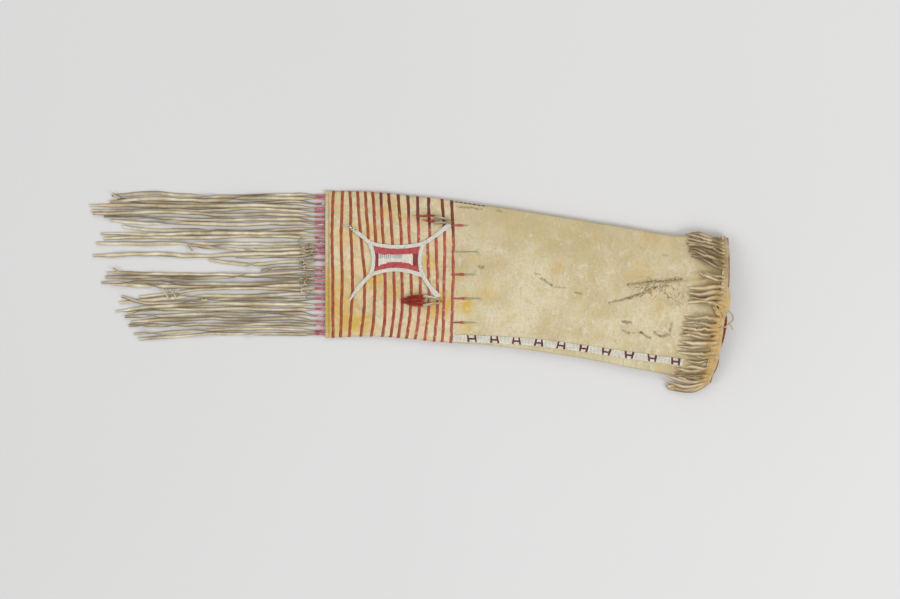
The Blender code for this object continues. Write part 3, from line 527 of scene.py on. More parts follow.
def total(masks):
    """The masks added up, held at 1."""
    added = masks[0]
    for mask in masks[1:]:
        added = added + mask
    return added.least(1.0)


def spotted(finish, vector, table):
    """A table's spots together: X, Y, reach and strength of each."""
    return total([finish.spot(vector, x, y, reach) * strength for x, y, reach, strength in table])


def hide_finish(colours):
    """Smoke-tanned hide: mottled cream and tan, stained ochre, with brown marks, and painted shade along
    its creases and side folds.
    """
    finish = Finish("bag_hide", Roughness=0.86, Sheen_Weight=0.15)
    place = finish.place()
    loose = finish.warp(place, 60.0, 0.012)
    near = finish.warp(place, 190.0, 0.004)
    wide = finish.cloud(place, 11.0, 3.0)
    middle = finish.cloud(loose, 48.0, 4.0, 0.6)
    speckle = finish.cloud(place, 420.0, 3.0, 0.65)
    patch = finish.cloud(loose, 95.0, 4.0, 0.7)
    streaks = finish.cloud(finish.stretch(place, (520.0, 110.0, 100.0)), 1.0, 3.0, 0.7)
    tone = (wide * 0.55 + middle * 0.45).span(0.34, 0.66)
    colour = finish.mix(tone, paint(*colours["hide_tan"]), paint(*colours["hide_cream"]))
    colour = finish.mix(speckle.span(0.50, 0.70) * 0.50, colour, paint(176, 158, 116))
    colour = finish.mix(patch.span(0.52, 0.66) * 0.50, colour, paint(206, 180, 116))
    colour = finish.mix(patch.span(0.47, 0.34) * 0.55, colour, paint(232, 222, 196))
    colour = finish.mix(streaks.span(0.52, 0.66) * 0.22, colour, paint(168, 150, 108))
    # The front turns darker tan towards the +Y side; painted shade darkens both side folds.
    turn = finish.split(finish.lay(), 1)
    colour = finish.mix(turn.span(0.15, 0.98) * 0.40, colour, paint(*colours["hide_tan"]))
    fold = (turn.span(0.962, 1.03) + turn.span(-0.972, -1.03)).least(1.0)
    colour = finish.mix(fold * 0.55, colour, paint(146, 130, 92))
    front = finish.split(place, 2).span(0.0015, 0.0045)
    from_hem = finish.split(place, 0)
    panel = from_hem.span(0.062, 0.040) * front
    patchy = finish.cloud(loose, 62.0, 4.0, 0.7, 0.6)
    pale = finish.cloud(near, 120.0, 3.0, 0.6)
    colour = finish.mix(panel * pale.span(0.40, 0.60) * 0.45, colour, paint(240, 228, 196))
    warm = panel * patchy.span(0.44, 0.66) * 0.45
    colour = finish.mix(warm, colour, paint(*colours["stain_orange"]))
    yellow = spotted(finish, loose, YELLOW_SPOTS)
    broken = finish.cloud(near, 170.0, 4.0, 0.7).span(0.25, 0.60)
    colour = finish.mix(yellow * broken * front * 0.9, colour, paint(*colours["stain_yellow"]))
    lower = finish.split(place, 1).span(0.060, -0.010, 0.12, 0.95)
    hem = from_hem.span(HEM_X + 0.0078, HEM_X + 0.0056) * lower
    colour = finish.mix(hem * front * (broken * 0.5 + 0.45), colour, paint(206, 162, 56))
    seam_x = HEM_X + 0.0043
    seam = finish.stroke(place, (seam_x, -0.053), (seam_x, 0.117), 0.0013)
    colour = finish.mix(seam * front * 0.5, colour, paint(132, 118, 66))
    ochre = spotted(finish, loose, OCHRE_SPOTS)
    colour = finish.mix(ochre * broken * front * 0.75, colour, paint(*colours["stain_ochre"]))
    # The hide darkens towards the mouth, under the collar strands.
    mouth = from_hem.span(0.335, 0.372) * front
    colour = finish.mix(mouth * 0.55, colour, paint(150, 122, 76))
    # Brown marks, and painted shade along the creases.
    strokes = [
        finish.stroke(near, start, end, 1.3 * reach) * strength
        for start, end, reach, strength in BROWN_STROKES
    ]
    brown = total(strokes) * finish.cloud(place, 330.0, 3.0, 0.7).span(0.30, 0.60) * front
    colour = finish.mix(brown, colour, paint(*colours["mark_brown"]))
    dirt = spotted(finish, loose, DIRT_SPOTS)
    blotch = finish.cloud(near, 210.0, 4.0, 0.75, 1.2).span(0.50, 0.60)
    colour = finish.mix(dirt * blotch * front * 0.9, colour, paint(138, 112, 74))
    green = spotted(finish, loose, GREEN_SPOTS)
    colour = finish.mix(green * broken * front, colour, paint(150, 160, 120))
    finish.colour(colour)
    grain = finish.cloud(place, 1500.0, 2.0)
    wrinkle = finish.cloud(finish.stretch(loose, (1.0, 2.2, 1.0)), 150.0, 4.0, 0.6)
    finish.bump(grain * 0.25 + wrinkle - brown * 0.6, 0.0009, 0.55)
    return finish.material


def strip_finish(name, dark, light, edge, tinted=False):
    """Cut hide seen along its length: streaks, one tone for each strip, and painted shade in its edge
    colour.
    """
    finish = Finish(name, Roughness=0.85, Sheen_Weight=0.1)
    lay = finish.lay()
    streak = finish.cloud(finish.stretch(lay, (26.0, 900.0, 37.0)), 1.0, 4.0, 0.6)
    patch = finish.cloud(finish.stretch(lay, (60.0, 60.0, 11.0)), 1.0, 3.0)
    tone = (streak * 0.45 + patch * 0.55).span(0.30, 0.70)
    colour = finish.mix(tone, paint(*dark), paint(*light))
    if tinted:
        tint = finish.cloud(finish.stretch(lay, (14.0, 14.0, 7.3)), 1.0, 2.0)
        colour = finish.mix(tint.span(0.54, 0.66) * 0.5, colour, paint(218, 182, 134))
        colour = finish.mix(tint.span(0.46, 0.34) * 0.4, colour, paint(200, 190, 134))
    # Painted shade: one side of each strip darkens towards the edge colour, which is the painted shade
    # colour.
    painted_side_shade = finish.split(lay, 1).span(0.0001, 0.0020) * 0.42
    colour = finish.mix(painted_side_shade, colour, paint(*edge))
    # Painted shade in the edge colour wherever the strip's shade level says: along its edges, and where
    # each piece asks for it.
    colour = finish.mix(finish.level("shade") * 0.85, colour, paint(*edge))
    finish.colour(colour)
    fine = finish.cloud(finish.stretch(lay, (500.0, 1800.0, 5.0)), 1.0, 3.0)
    finish.bump(streak + fine * 0.5, 0.0004, 0.6)
    return finish


def quill_finish(name, colour_a, colour_b, worn, turns, groove_shade):
    """Flattened dyed quills: a ridge for each turn with painted shade in its groove, faded and worn in
    places.
    """
    finish = Finish(name, Specular_IOR_Level=0.45)
    lay = finish.lay()
    along = finish.split(lay, 0)
    patch = finish.cloud(finish.stretch(lay, (70.0, 70.0, 19.0)), 1.0, 3.0, 0.6)
    fibre = finish.cloud(finish.stretch(lay, (1700.0, 400.0, 7.0)), 1.0, 2.0)
    tone = (patch * 0.6 + fibre * 0.4).span(0.32, 0.68)
    colour = finish.mix(tone, paint(*colour_a), paint(*colour_b))
    groove = finish.node("ShaderNodeMath", {"operation": "SINE"}, {0: along * (2 * math.pi * turns)})
    # Painted shade in the groove between each turn of quill.
    colour = finish.mix(groove.span(-0.2, -1.0) * groove_shade, colour, paint(70, 22, 18))
    lost = finish.cloud(finish.stretch(lay, (120.0, 240.0, 31.0)), 1.0, 4.0, 0.7).span(0.54, 0.64)
    colour = finish.mix(lost * finish.level("shade"), colour, paint(*worn))
    colour = finish.mix(finish.level("deep") * 0.8, colour, paint(92, 34, 22))
    colour = finish.mix(finish.level("tip"), colour, paint(160, 164, 124))
    finish.colour(colour)
    finish.rough(lost * 0.3 + 0.5)
    finish.bump(groove * 0.5 + fibre, 0.0002, 0.6)
    return finish.material


def bead_finish(name, colour_a, colour_b):
    """Opaque glass seed beads, each a little off the next in colour."""
    finish = Finish(name, Coat_Weight=0.35, Coat_Roughness=0.12)
    tone = finish.level("shade")
    dust = finish.cloud(finish.place(), 900.0, 2.0)
    colour = finish.mix(tone, paint(*colour_a), paint(*colour_b))
    colour = finish.mix(dust.span(0.56, 0.74) * 0.14, colour, paint(196, 182, 152))
    finish.colour(colour)
    finish.rough(dust * 0.25 + 0.28)
    return finish.material


def tin_finish(name, bright, dull):
    """Rolled tin sheet in streaks along its length: tarnished brown streaks, and bright streaks that are
    painted reflection.
    """
    finish = Finish(name)
    lay = finish.lay()
    # Streaks along the length: tarnished brown, and bright streaks that are painted reflection.
    tarnish_and_glint = finish.cloud(finish.stretch(lay, (60.0, 800.0, 13.0)), 1.0, 3.0, 0.5)
    stained = tarnish_and_glint.span(0.42, 0.62)
    finish.colour(finish.mix(stained, paint(*bright), paint(*dull)))
    finish.rough(stained * 0.35 + 0.28)
    finish.feed(finish.shader.inputs["Metallic"], stained * -0.55 + 0.95)
    finish.bump(tarnish_and_glint, 0.0002, 0.5)
    return finish.material


def hair_finish(name, dark, light):
    """Dyed hair, lighter where it is worn."""
    finish = Finish(name, Roughness=0.55, Specular_IOR_Level=0.4)
    tone = finish.level("shade")
    streak = finish.cloud(finish.place(), 700.0, 2.0)
    finish.colour(finish.mix(tone * streak.span(0.3, 0.7), paint(*dark), paint(*light)))
    return finish.material


def cloth_finish(name, dark, light, worn):
    """A narrow woven binding, rubbed through along its fold."""
    finish = Finish(name, Roughness=0.85, Sheen_Weight=0.3)
    lay = finish.lay()
    inputs = {"Vector": lay, "Scale": 420.0, "Distortion": 1.5}
    weave = finish.node("ShaderNodeTexWave", {"bands_direction": "DIAGONAL"}, inputs)
    patch = finish.cloud(finish.stretch(lay, (120.0, 500.0, 3.0)), 1.0, 3.0)
    colour = finish.mix(weave * 0.5 + patch * 0.5, paint(*dark), paint(*light))
    colour = finish.mix(patch.span(0.56, 0.66), colour, paint(*worn))
    finish.colour(colour)
    finish.bump(weave, 0.0003, 0.6)
    return finish.material


def knot_values(knots, shares):
    """A smooth curve through (share, value) pairs, read at many shares."""
    places, values = np.array(knots, float).T
    count = len(places)
    before = np.maximum(np.arange(count) - 1, 0)
    after = np.minimum(np.arange(count) + 1, count - 1)
    slopes = (values[after] - values[before]) / (places[after] - places[before])
    shares = np.clip(shares, places[0], places[-1])
    i = np.clip(np.searchsorted(places, shares, side="right") - 1, 0, count - 2)
    span = places[i + 1] - places[i]
    u = (shares - places[i]) / span
    return (
        values[i] * (1 + 2 * u) * (1 - u) ** 2
        + slopes[i] * span * u * (1 - u) ** 2
        + values[i + 1] * u * u * (3 - 2 * u)
        + slopes[i + 1] * span * u * u * (u - 1)
    )


def ease(share):
    share = np.clip(share, 0.0, 1.0)
    return share * share * (3 - 2 * share)


def clouds(points, scale, seed):
    """Smooth noise from -1 to 1 at each point, features about 1 / scale metres wide."""
    return np.array([noise.noise(Vector((x * scale, y * scale, seed))) for x, y in points])


def line_run(number, turn):
    """How far from the hem a quilled line lies, at a place round the bag."""
    left, right = LINE_ENDS[number]
    return right + (left - right) * (np.clip(turn, -1, 1) + 1) / 2


def line_bend(number, turn, lower):
    """How far a line lies off its straight course, at a place round the bag."""
    high, low = LINE_BENDS[number]
    cut = CUT_LINES[0] <= number <= CUT_LINES[1]
    if cut and lower:
        knots = ((-1.05, 0), (-0.62, low * 0.72), (BEND_LOW, low), (1.05, low))
    elif cut:
        knots = ((-1.05, high), (BEND_HIGH, high), (1.05, 0))
    else:
        knots = ((-1.05, 0), (-0.62, low * 0.72), (BEND_LOW, low), (BEND_HIGH, high), (1.05, 0))
    return knot_values(knots, turn)


class Skin:
    """The outer surface of the hide, as points along the bag and round it."""

    def __init__(self):
        shares = np.linspace(0, 1, SHARE_STEPS + 1)
        turns = np.linspace(-BACK_MIDDLE, BACK_MIDDLE, ROUND_STEPS + 1)
        share, turn = np.meshgrid(shares, turns, indexing="ij")
        across, height = self.section(share, turn)
        across, height = self.softened(across, turn), self.softened(height, turn)
        lift = (COLLAR_THICK + GAP) * ease((share - LIFT_START) / (LIFT_END - LIFT_START))
        half = knot_values(HALF_WIDTH, share)
        angle = np.radians(knot_values(TURN_DEG, share))
        bulge = knot_values(BOW, share) * (1 - (across / half) ** 2)
        x = HEM_X + BAG_LENGTH * share + np.sin(angle) * across + bulge
        y = knot_values(CENTRE_Y, share) + np.cos(angle) * across
        self.points = np.stack([x, y, lift + height], axis=-1)
        self.half = half
        self.find_normals()
        self.points += self.normals * self.relief(share, turn)[..., None]
        self.points[..., 2] = np.maximum(self.points[..., 2], 0.0)
        self.find_normals()

    @staticmethod
    def section(share, turn):
        """Distance across and height over the back, at a share of the length and a place round."""
        half = knot_values(HALF_WIDTH, share)
        full = knot_values(HEIGHT, share)
        fold = FOLD_SHARE * full + FOLD_LEAST
        size = np.abs(turn)
        front = size <= 1
        side = (size > 1) & (size <= FOLD_END)
        angle = np.clip((size - 1) / (FOLD_END - 1), 0, 1) * math.pi / 2
        back_across = (half - fold) * (BACK_MIDDLE - size) / (BACK_MIDDLE - FOLD_END)
        side_across = half - fold * (1 - np.cos(angle))
        across = np.where(front, half * size, np.where(side, side_across, back_across))
        crown = fold + (full - fold) * (1 - np.minimum(size, 1) ** FRONT_FULLNESS)
        height = np.where(front, crown, np.where(side, fold * (1 - np.sin(angle)), 0.0))
        return across * np.sign(turn), height

    @staticmethod
    def softened(values, turn):
        """The values with the corner at each side fold rounded off."""
        window = np.hanning(2 * FOLD_SOFT + 3)[1:-1]
        window /= window.sum()
        padded = np.pad(values, ((0, 0), (FOLD_SOFT, FOLD_SOFT)), mode="edge")
        smooth = sum(
            weight * padded[:, n:n + values.shape[1]] for n, weight in enumerate(window)
        )
        near = ease(1.6 - np.abs(np.abs(turn) - 1.05) * 9)
        return values * (1 - near) + smooth * near

    def relief(self, share, turn):
        """How far the hide stands off its plain form: sags, puckers and creases."""
        flat = self.points[..., :2].reshape(-1, 2)
        top = ease((1.12 - np.abs(turn)) * 8)
        sag = clouds(flat, SAG[0], 3.0).reshape(share.shape) * SAG[1]
        dent = clouds(flat, DENT[0], 8.0).reshape(share.shape) * DENT[1]
        distance = share * BAG_LENGTH
        full_turns = flat[:, 1].reshape(share.shape) * 2 * math.pi
        puckers = PUCKER[1] * np.sin(full_turns / PUCKER[0])
        puckers *= ease(1 - distance / PUCKER_REACH)
        gathers = GATHER[1] * np.sin(full_turns / GATHER[0] + 3 * share)
        gathers *= ease((share - 0.86) / 0.12) * (0.6 + 0.4 * np.sign(dent))
        grooves = np.zeros_like(share)
        for number in range(len(LINE_ENDS)):
            upper, lower = (line_bend(number, turn, part) for part in (False, True))
            bend = np.where(turn < CUT_HIGH, lower, upper)
            away = distance - line_run(number, turn) - bend
            grooves -= GROOVE_DEPTH * np.exp(-((away / GROOVE_WIDTH) ** 2))
        creases = np.zeros(len(flat))
        for start, end, width, depth in CREASES:
            start, run = np.array(start), np.array(end) - np.array(start)
            reach = np.clip((flat - start) @ run / (run @ run), 0, 1)
            away = np.linalg.norm(flat - start - reach[:, None] * run, axis=1)
            creases -= depth * np.exp(-((away / width) ** 2))
            creases += 0.5 * depth * np.exp(-(((away - 1.8 * width) / width) ** 2))
        edge = ease(distance / 0.01)
        return (sag * edge + dent + puckers + gathers + grooves + creases.reshape(share.shape)) * top

    def find_normals(self):
        along_bag = np.gradient(self.points, axis=0)
        round_bag = np.gradient(self.points, axis=1)
        normals = np.cross(along_bag, round_bag)
        self.normals = normals / np.linalg.norm(normals, axis=-1, keepdims=True)

    def read(self, table, share, turn):
        """A table's value between its samples."""
        i = np.clip(np.asarray(share, float), 0, 1) * SHARE_STEPS
        k = (np.clip(np.asarray(turn, float), -2, 2) + 2) / 4 * ROUND_STEPS
        i0 = np.minimum(i.astype(int), SHARE_STEPS - 1)
        k0 = np.minimum(k.astype(int), ROUND_STEPS - 1)
        u, v = (i - i0)[..., None], (k - k0)[..., None]
        near = table[i0, k0] * (1 - v) + table[i0, k0 + 1] * v
        far = table[i0 + 1, k0] * (1 - v) + table[i0 + 1, k0 + 1] * v
        return near * (1 - u) + far * u

    def at(self, share, turn, lift=0.0):
        """The point that stands lift off the hide; past the mouth it runs straight on."""
        share = np.asarray(share, float)
        point = self.read(self.points, share, turn)
        point = point + self.read(self.normals, share, turn) * np.asarray(lift)[..., None]
        beyond = np.maximum(share - 1, 0) * BAG_LENGTH
        point[..., 0] += beyond
        return point

    def find(self, x, y):
        """The share and the place round of the front point above x, y."""
        x, y = np.asarray(x, float), np.asarray(y, float)
        share, turn = (x - HEM_X) / BAG_LENGTH, np.zeros_like(x)
        for _ in range(14):
            here = self.at(share, turn)
            share = np.clip(share + (x - here[..., 0]) / BAG_LENGTH, 0, 1.2)
            turn = np.clip(turn + (y - here[..., 1]) / knot_values(HALF_WIDTH, share), -1.02, 1.02)
        return share, turn

    def over(self, x, y, lift=0.0):
        """The point that stands lift off the front at x, y."""
        share, turn = self.find(x, y)
        return self.at(share, turn, lift)


def run_along(path):
    """The distance from a path's start to each of its points."""
    return np.concatenate([[0], np.cumsum(np.linalg.norm(np.diff(path, axis=0), axis=1))])


def smooth_path(points, count):
    """Evenly counted points on a smooth curve through the given ones."""
    points = np.array(points, float)
    places = run_along(points)
    wanted = np.linspace(0, places[-1], count)
    columns = [knot_values(np.stack([places, column], axis=1), wanted) for column in points.T]
    return np.stack(columns, axis=1)


def deselect():
    for obj in bpy.context.selected_objects:
        obj.select_set(False)


def reshape(obj, points):
    """Moves a new grid's points to those of an array, and gives their columns and rows in it."""
    mesh = obj.data
    flat = np.empty(len(mesh.vertices) * 3, np.float32)
    mesh.vertices.foreach_get("co", flat)
    flat = flat.reshape(-1, 3) + 0.5
    column = np.round(flat[:, 0] * (points.shape[0] - 1)).astype(int)
    row = np.round(flat[:, 1] * (points.shape[1] - 1)).astype(int)
    mesh.vertices.foreach_set("co", points[column, row].astype(np.float32).ravel())
    mesh.update()
    return column, row


def mark(obj, name, values):
    """Stores a number or a vector at each point of the mesh."""
    values = np.asarray(values, np.float32)
    kind, field = ("FLOAT_VECTOR", "vector") if values.ndim == 2 else ("FLOAT", "value")
    attribute = obj.data.attributes.new(name, kind, "POINT")
    attribute.data.foreach_set(field, values.ravel())


def grid(name, points, lay=None, shade=None):
    """A sheet from an array of points (along, across), with its strip coordinates."""
    along_count, across_count = points.shape[0] - 1, points.shape[1] - 1
    deselect()
    bpy.ops.mesh.primitive_grid_add(x_subdivisions=along_count, y_subdivisions=across_count, size=1)
    obj = bpy.context.object
    obj.name = name
    column, row = reshape(obj, points)
    if lay is None:
        steps_along = np.diff(points, axis=0, prepend=points[:1])
        steps_across = np.diff(points, axis=1, prepend=points[:, :1])
        run = np.cumsum(np.linalg.norm(steps_along, axis=-1), axis=0)
        width = np.cumsum(np.linalg.norm(steps_across, axis=-1), axis=1)
        lay = np.stack([run, width, np.zeros_like(run)], axis=-1)
    mark(obj, "lay", lay[column, row])
    mark(obj, "shade", np.zeros(len(column)) if shade is None else shade[column, row])
    return obj


def close_seams(obj, reach=1e-5):
    """Merges the points that meet along a sheet's seams and turns its faces out."""
    bpy.ops.object.mode_set(mode="EDIT")
    bpy.ops.mesh.select_all(action="SELECT")
    bpy.ops.mesh.remove_doubles(threshold=reach)
    bpy.ops.mesh.normals_make_consistent(inside=False)
    bpy.ops.object.mode_set(mode="OBJECT")
    return obj


def give_wall(obj, thickness, offset=0.0):
    """Gives a sheet its thickness: half on each side, or at offset -1 all behind its faces."""
    wall = obj.modifiers.new("wall", "SOLIDIFY")
    wall.thickness = thickness
    wall.offset = offset
    wall.use_even_offset = False
    bpy.context.view_layer.objects.active = obj
    bpy.ops.object.modifier_apply(modifier=wall.name)
    return obj


def join(pieces, name):
    """Joins several meshes into one piece."""
    deselect()
    for piece in pieces:
        piece.select_set(True)
    bpy.context.view_layer.objects.active = pieces[0]
    if len(pieces) > 1:
        bpy.ops.object.join()
    joined = bpy.context.view_layer.objects.active
    joined.name = name
    return joined


def settle(obj, materials, slot, *nodes, smooth=50):
    """Gives a finished piece its materials and its body, smooths its shading, and hides the nodes that it
    stands for.
    """
    kinds = np.empty(len(obj.data.polygons), np.int32)
    obj.data.polygons.foreach_get("material_index", kinds)
    obj.data.materials.clear()
    for material in materials:
        obj.data.materials.append(material)
    obj.data.polygons.foreach_set("material_index", np.minimum(kinds, len(materials) - 1))
    deselect()
    obj.select_set(True)
    bpy.context.view_layer.objects.active = obj
    if smooth:
        bpy.ops.object.shade_smooth_by_angle(angle=math.radians(smooth))
    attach(obj, BODY)
    if nodes:
        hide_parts(*nodes)
    return obj


def frames(path, up=(0.0, 0.0, 1.0)):
    """Forward, sideways and upward directions along a path."""
    forward = np.gradient(path, axis=0)
    forward /= np.linalg.norm(forward, axis=1, keepdims=True)
    side = np.cross(up, forward)
    side /= np.maximum(np.linalg.norm(side, axis=1, keepdims=True), 1e-9)
    return forward, side, np.cross(forward, side)


def strip_marks(path, offset, number, shade):
    """A strip's coordinates, with metres along it, metres across it and its number, and its shade."""
    size = offset.shape
    parts = (run_along(path)[:, None], offset, float(number))
    lay = np.stack([np.broadcast_to(part, size) for part in parts], axis=-1)
    return lay, np.broadcast_to(np.broadcast_to(shade, len(path))[:, None], size)


def ribbon(name, path, width, thickness, twist, curl, number, shade=0.0):
    """A cut strip of hide along a path: twist turns it about its length, and curl cups it."""
    _, side, rise = frames(path)
    twist, width = np.broadcast_to(twist, len(path)), np.broadcast_to(width, len(path))
    level = side * np.cos(twist)[:, None] + rise * np.sin(twist)[:, None]
    top = rise * np.cos(twist)[:, None] - side * np.sin(twist)[:, None]
    across = np.linspace(-1, 1, RIBBON_COLUMNS + 1)
    cup = (across**2 - 0.4) * curl
    points = (
        path[:, None]
        + level[:, None] * (across[None, :, None] * width[:, None, None] / 2)
        + top[:, None] * (cup[None, :, None] * width[:, None, None])
    )
    lay, shades = strip_marks(path, across[None] * width[:, None] / 2, number, shade)
    # Painted shade: the strip's edges get more of the shade level, so they render darker.
    shades = np.clip(np.abs(across[None]) ** 3 * EDGE_SHADE + shades, 0, 1)
    return give_wall(grid(name, points, lay, shades), thickness)


def rolled(path, angle, radius, flat=1.0):
    """Points round a path at each angle, their radius set for each."""
    _, side, rise = frames(path)
    return (
        path[:, None]
        + side[:, None] * (np.cos(angle) * radius)[..., None]
        + rise[:, None] * (np.sin(angle) * radius * flat)[..., None]
    )


def tube(name, path, radius, sides, number, ridge=0.0, shade=0.0):
    """A closed-round sheet along a path, its radius set at each point."""
    angle = np.linspace(0, 2 * math.pi, sides + 1)
    radius = np.broadcast_to(radius, len(path))[:, None] * np.ones(len(angle)) + ridge
    lay, shades = strip_marks(path, radius * angle, number, shade)
    return grid(name, rolled(path, angle, radius), lay, shades)


def cap_ends(obj):
    """Closes a tube's open ends."""
    bpy.context.view_layer.objects.active = obj
    bpy.ops.object.mode_set(mode="EDIT")
    bpy.ops.mesh.select_all(action="SELECT")
    bpy.ops.mesh.remove_doubles(threshold=1e-6)
    bpy.ops.mesh.select_all(action="DESELECT")
    bpy.ops.mesh.select_mode(type="EDGE")
    bpy.ops.mesh.select_non_manifold(extend=False)
    bpy.ops.mesh.edge_face_add()
    bpy.ops.mesh.select_all(action="SELECT")
    bpy.ops.mesh.normals_make_consistent(inside=False)
    bpy.ops.object.mode_set(mode="OBJECT")
    return obj


def bead_shape():
    """Points and faces of one seed bead, its hole along Z, 1 across and 1 long."""
    deselect()
    bpy.ops.mesh.primitive_torus_add(
        major_segments=8, minor_segments=4, major_radius=0.30, minor_radius=0.20, location=(0, 0, 0)
    )
    obj = bpy.context.object
    points = np.array([vertex.co for vertex in obj.data.vertices])
    points[:, 2] *= 2.5
    faces = np.array([list(polygon.vertices) for polygon in obj.data.polygons])
    bpy.data.objects.remove(obj, do_unlink=True)
    return points, faces


def string_beads(name, centres, threads, ups, kinds, jitter, seed, pitch=BEAD_ALONG_THREAD):
    """One mesh of many beads, each with its hole along its thread; kinds picks its material."""
    chance = np.random.default_rng(seed)
    shape, faces = bead_shape()
    count = len(centres)
    centres, threads, ups = (np.array(a, float) for a in (centres, threads, ups))
    threads /= np.linalg.norm(threads, axis=1, keepdims=True)
    side = np.cross(threads, ups)
    side /= np.linalg.norm(side, axis=1, keepdims=True)
    rise = np.cross(side, threads)
    size = BEAD_SIZE * (1 + chance.uniform(-0.07, 0.07, count))
    length = pitch * (0.96 + chance.uniform(-0.06, 0.05, count))
    centres = centres + chance.normal(0, jitter, (count, 3))
    turned = (
        shape[None, :, 0, None] * side[:, None] * size[:, None, None]
        + shape[None, :, 1, None] * rise[:, None] * size[:, None, None]
        + shape[None, :, 2, None] * threads[:, None] * length[:, None, None]
    )
    points = (centres[:, None] + turned).reshape(-1, 3)
    corners = (faces[None] + (np.arange(count) * len(shape))[:, None, None]).reshape(-1, 4)
    mesh = bpy.data.meshes.new(name)
    mesh.from_pydata(points.tolist(), [], corners.tolist())
    mesh.polygons.foreach_set("material_index", np.repeat(np.array(kinds, np.int32), len(faces)))
    obj = bpy.data.objects.new(name, mesh)
    bpy.context.scene.collection.objects.link(obj)
    mark(obj, "shade", np.repeat(chance.uniform(0, 1, count), len(shape)))
    turn_out(obj)
    return obj


def turn_out(obj):
    """Turns a piece's faces out."""
    deselect()
    obj.select_set(True)
    bpy.context.view_layer.objects.active = obj
    bpy.ops.object.mode_set(mode="EDIT")
    bpy.ops.mesh.select_all(action="SELECT")
    bpy.ops.mesh.normals_make_consistent(inside=False)
    bpy.ops.object.mode_set(mode="OBJECT")


SKIN = Skin()


class PipeBagSizes(bpy.types.PropertyGroup):
    """Sizes that a maker may change."""

    hide_wall: bpy.props.FloatProperty(
        name="Hide", description="Thickness of the hide", default=0.0013, unit="LENGTH"
    )
    thong_width: bpy.props.FloatProperty(
        name="Thong", description="Width of a fringe thong", default=0.0042, unit="LENGTH"
    )
    quill_pitch: bpy.props.FloatProperty(
        name="Quill", description="Width of one turn of quill", default=0.0009, unit="LENGTH"
    )
    camera_height: bpy.props.FloatProperty(
        name="Camera",
        description="Height of the camera over the floor",
        default=CAMERA_HEIGHT,
        unit="LENGTH",
    )


def colour_property(name, colour):
    return bpy.props.IntVectorProperty(
        name=name, description=f"{name}, from 0 to 255", default=colour, min=0, max=255, size=3
    )


class PipeBagColours(bpy.types.PropertyGroup):
    """Colours that a maker may change."""

    hide_cream: colour_property("Pale hide", (222, 210, 176))
    hide_tan: colour_property("Tan hide", (196, 178, 134))
    stain_orange: colour_property("Warm stain", (224, 172, 100))
    stain_yellow: colour_property("Yellow stain", (216, 172, 44))
    stain_ochre: colour_property("Ochre stain", (204, 166, 88))
    # Brown marks, and the painted shade along the creases.
    mark_brown: colour_property("Brown marks", (108, 84, 50))
    wrap_red: colour_property("Wrapped quills", (158, 50, 58))
    bead_white: colour_property("White beads", (255, 252, 240))
    bead_red: colour_property("Red beads", (208, 60, 68))


def colours():
    """The colours as plain tuples, by name."""
    group = bpy.context.scene.pipe_bag_colours
    return {name: tuple(getattr(group, name)) for name in PipeBagColours.__annotations__}


def sizes():
    return bpy.context.scene.pipe_bag_sizes


class PIPEBAG_OT_stage(bpy.types.Operator):
    """Sets the floor, the soft lights and the camera over the bag"""

    bl_idname = "pipebag.stage"
    bl_label = "Stage"

    def execute(self, context):
        scene = context.scene
        scene.view_settings.view_transform = "Standard"
        deselect()
        bpy.ops.mesh.primitive_grid_add(
            x_subdivisions=8,
            y_subdivisions=8,
            size=FLOOR_SIZE,
            location=(*PICTURE_MIDDLE, -FLOOR_DROP),
        )
        floor = context.object
        floor.name = "pale_floor"
        finish = Finish("pale_floor", Roughness=0.9, Specular_IOR_Level=0.2)
        tone = finish.cloud(finish.place(), 1.2, 2.0)
        finish.colour(finish.mix(tone, paint(222, 222, 221), paint(230, 229, 229)))
        floor.data.materials.append(finish.material)
        world = bpy.data.worlds.new("soft_studio")
        scene.world = world
        world.use_nodes = True
        sky = world.node_tree.nodes["Background"]
        sky.inputs["Color"].default_value = (1.0, 1.0, 1.0, 1.0)
        sky.inputs["Strength"].default_value = SKY_STRENGTH
        for place, size, power in LAMPS:
            light = bpy.data.lights.new("softbox", "AREA")
            light.size = size
            light.energy = power
            lamp = bpy.data.objects.new("softbox", light)
            scene.collection.objects.link(lamp)
            lamp.location = place
            aim = Vector((*PICTURE_MIDDLE, 0.0)) - Vector(place)
            lamp.rotation_euler = aim.to_track_quat("-Z", "Y").to_euler()
        deselect()
        bpy.ops.object.camera_add(location=(*PICTURE_MIDDLE, sizes().camera_height))
        camera = context.object
        camera.data.sensor_width = SENSOR
        camera.data.lens = SENSOR * sizes().camera_height / PICTURE_WIDTH
        scene.camera = camera
        return {"FINISHED"}


class PIPEBAG_OT_hide(bpy.types.Operator):
    """Rolls the hide into the bag: one sheet round the front, both side folds and the back"""

    bl_idname = "pipebag.hide"
    bl_label = "Bag hide"

    def execute(self, context):
        shares = np.linspace(0, 1, HIDE_ROWS + 1)
        turns = np.interp(np.linspace(0, 1, HIDE_COLUMNS + 1), *zip(*HIDE_COLUMN_PLACES))
        share, turn = np.meshgrid(shares, turns, indexing="ij")
        wall = sizes().hide_wall
        points = SKIN.at(share, turn, -wall / 2)
        sheet = grid("bag_hide", points, np.stack([share, turn, np.zeros_like(share)], axis=-1))
        close_seams(sheet)
        give_wall(sheet, wall)
        settle(sheet, [hide_finish(colours())], "hide", "bag_body", smooth=60)
        return {"FINISHED"}


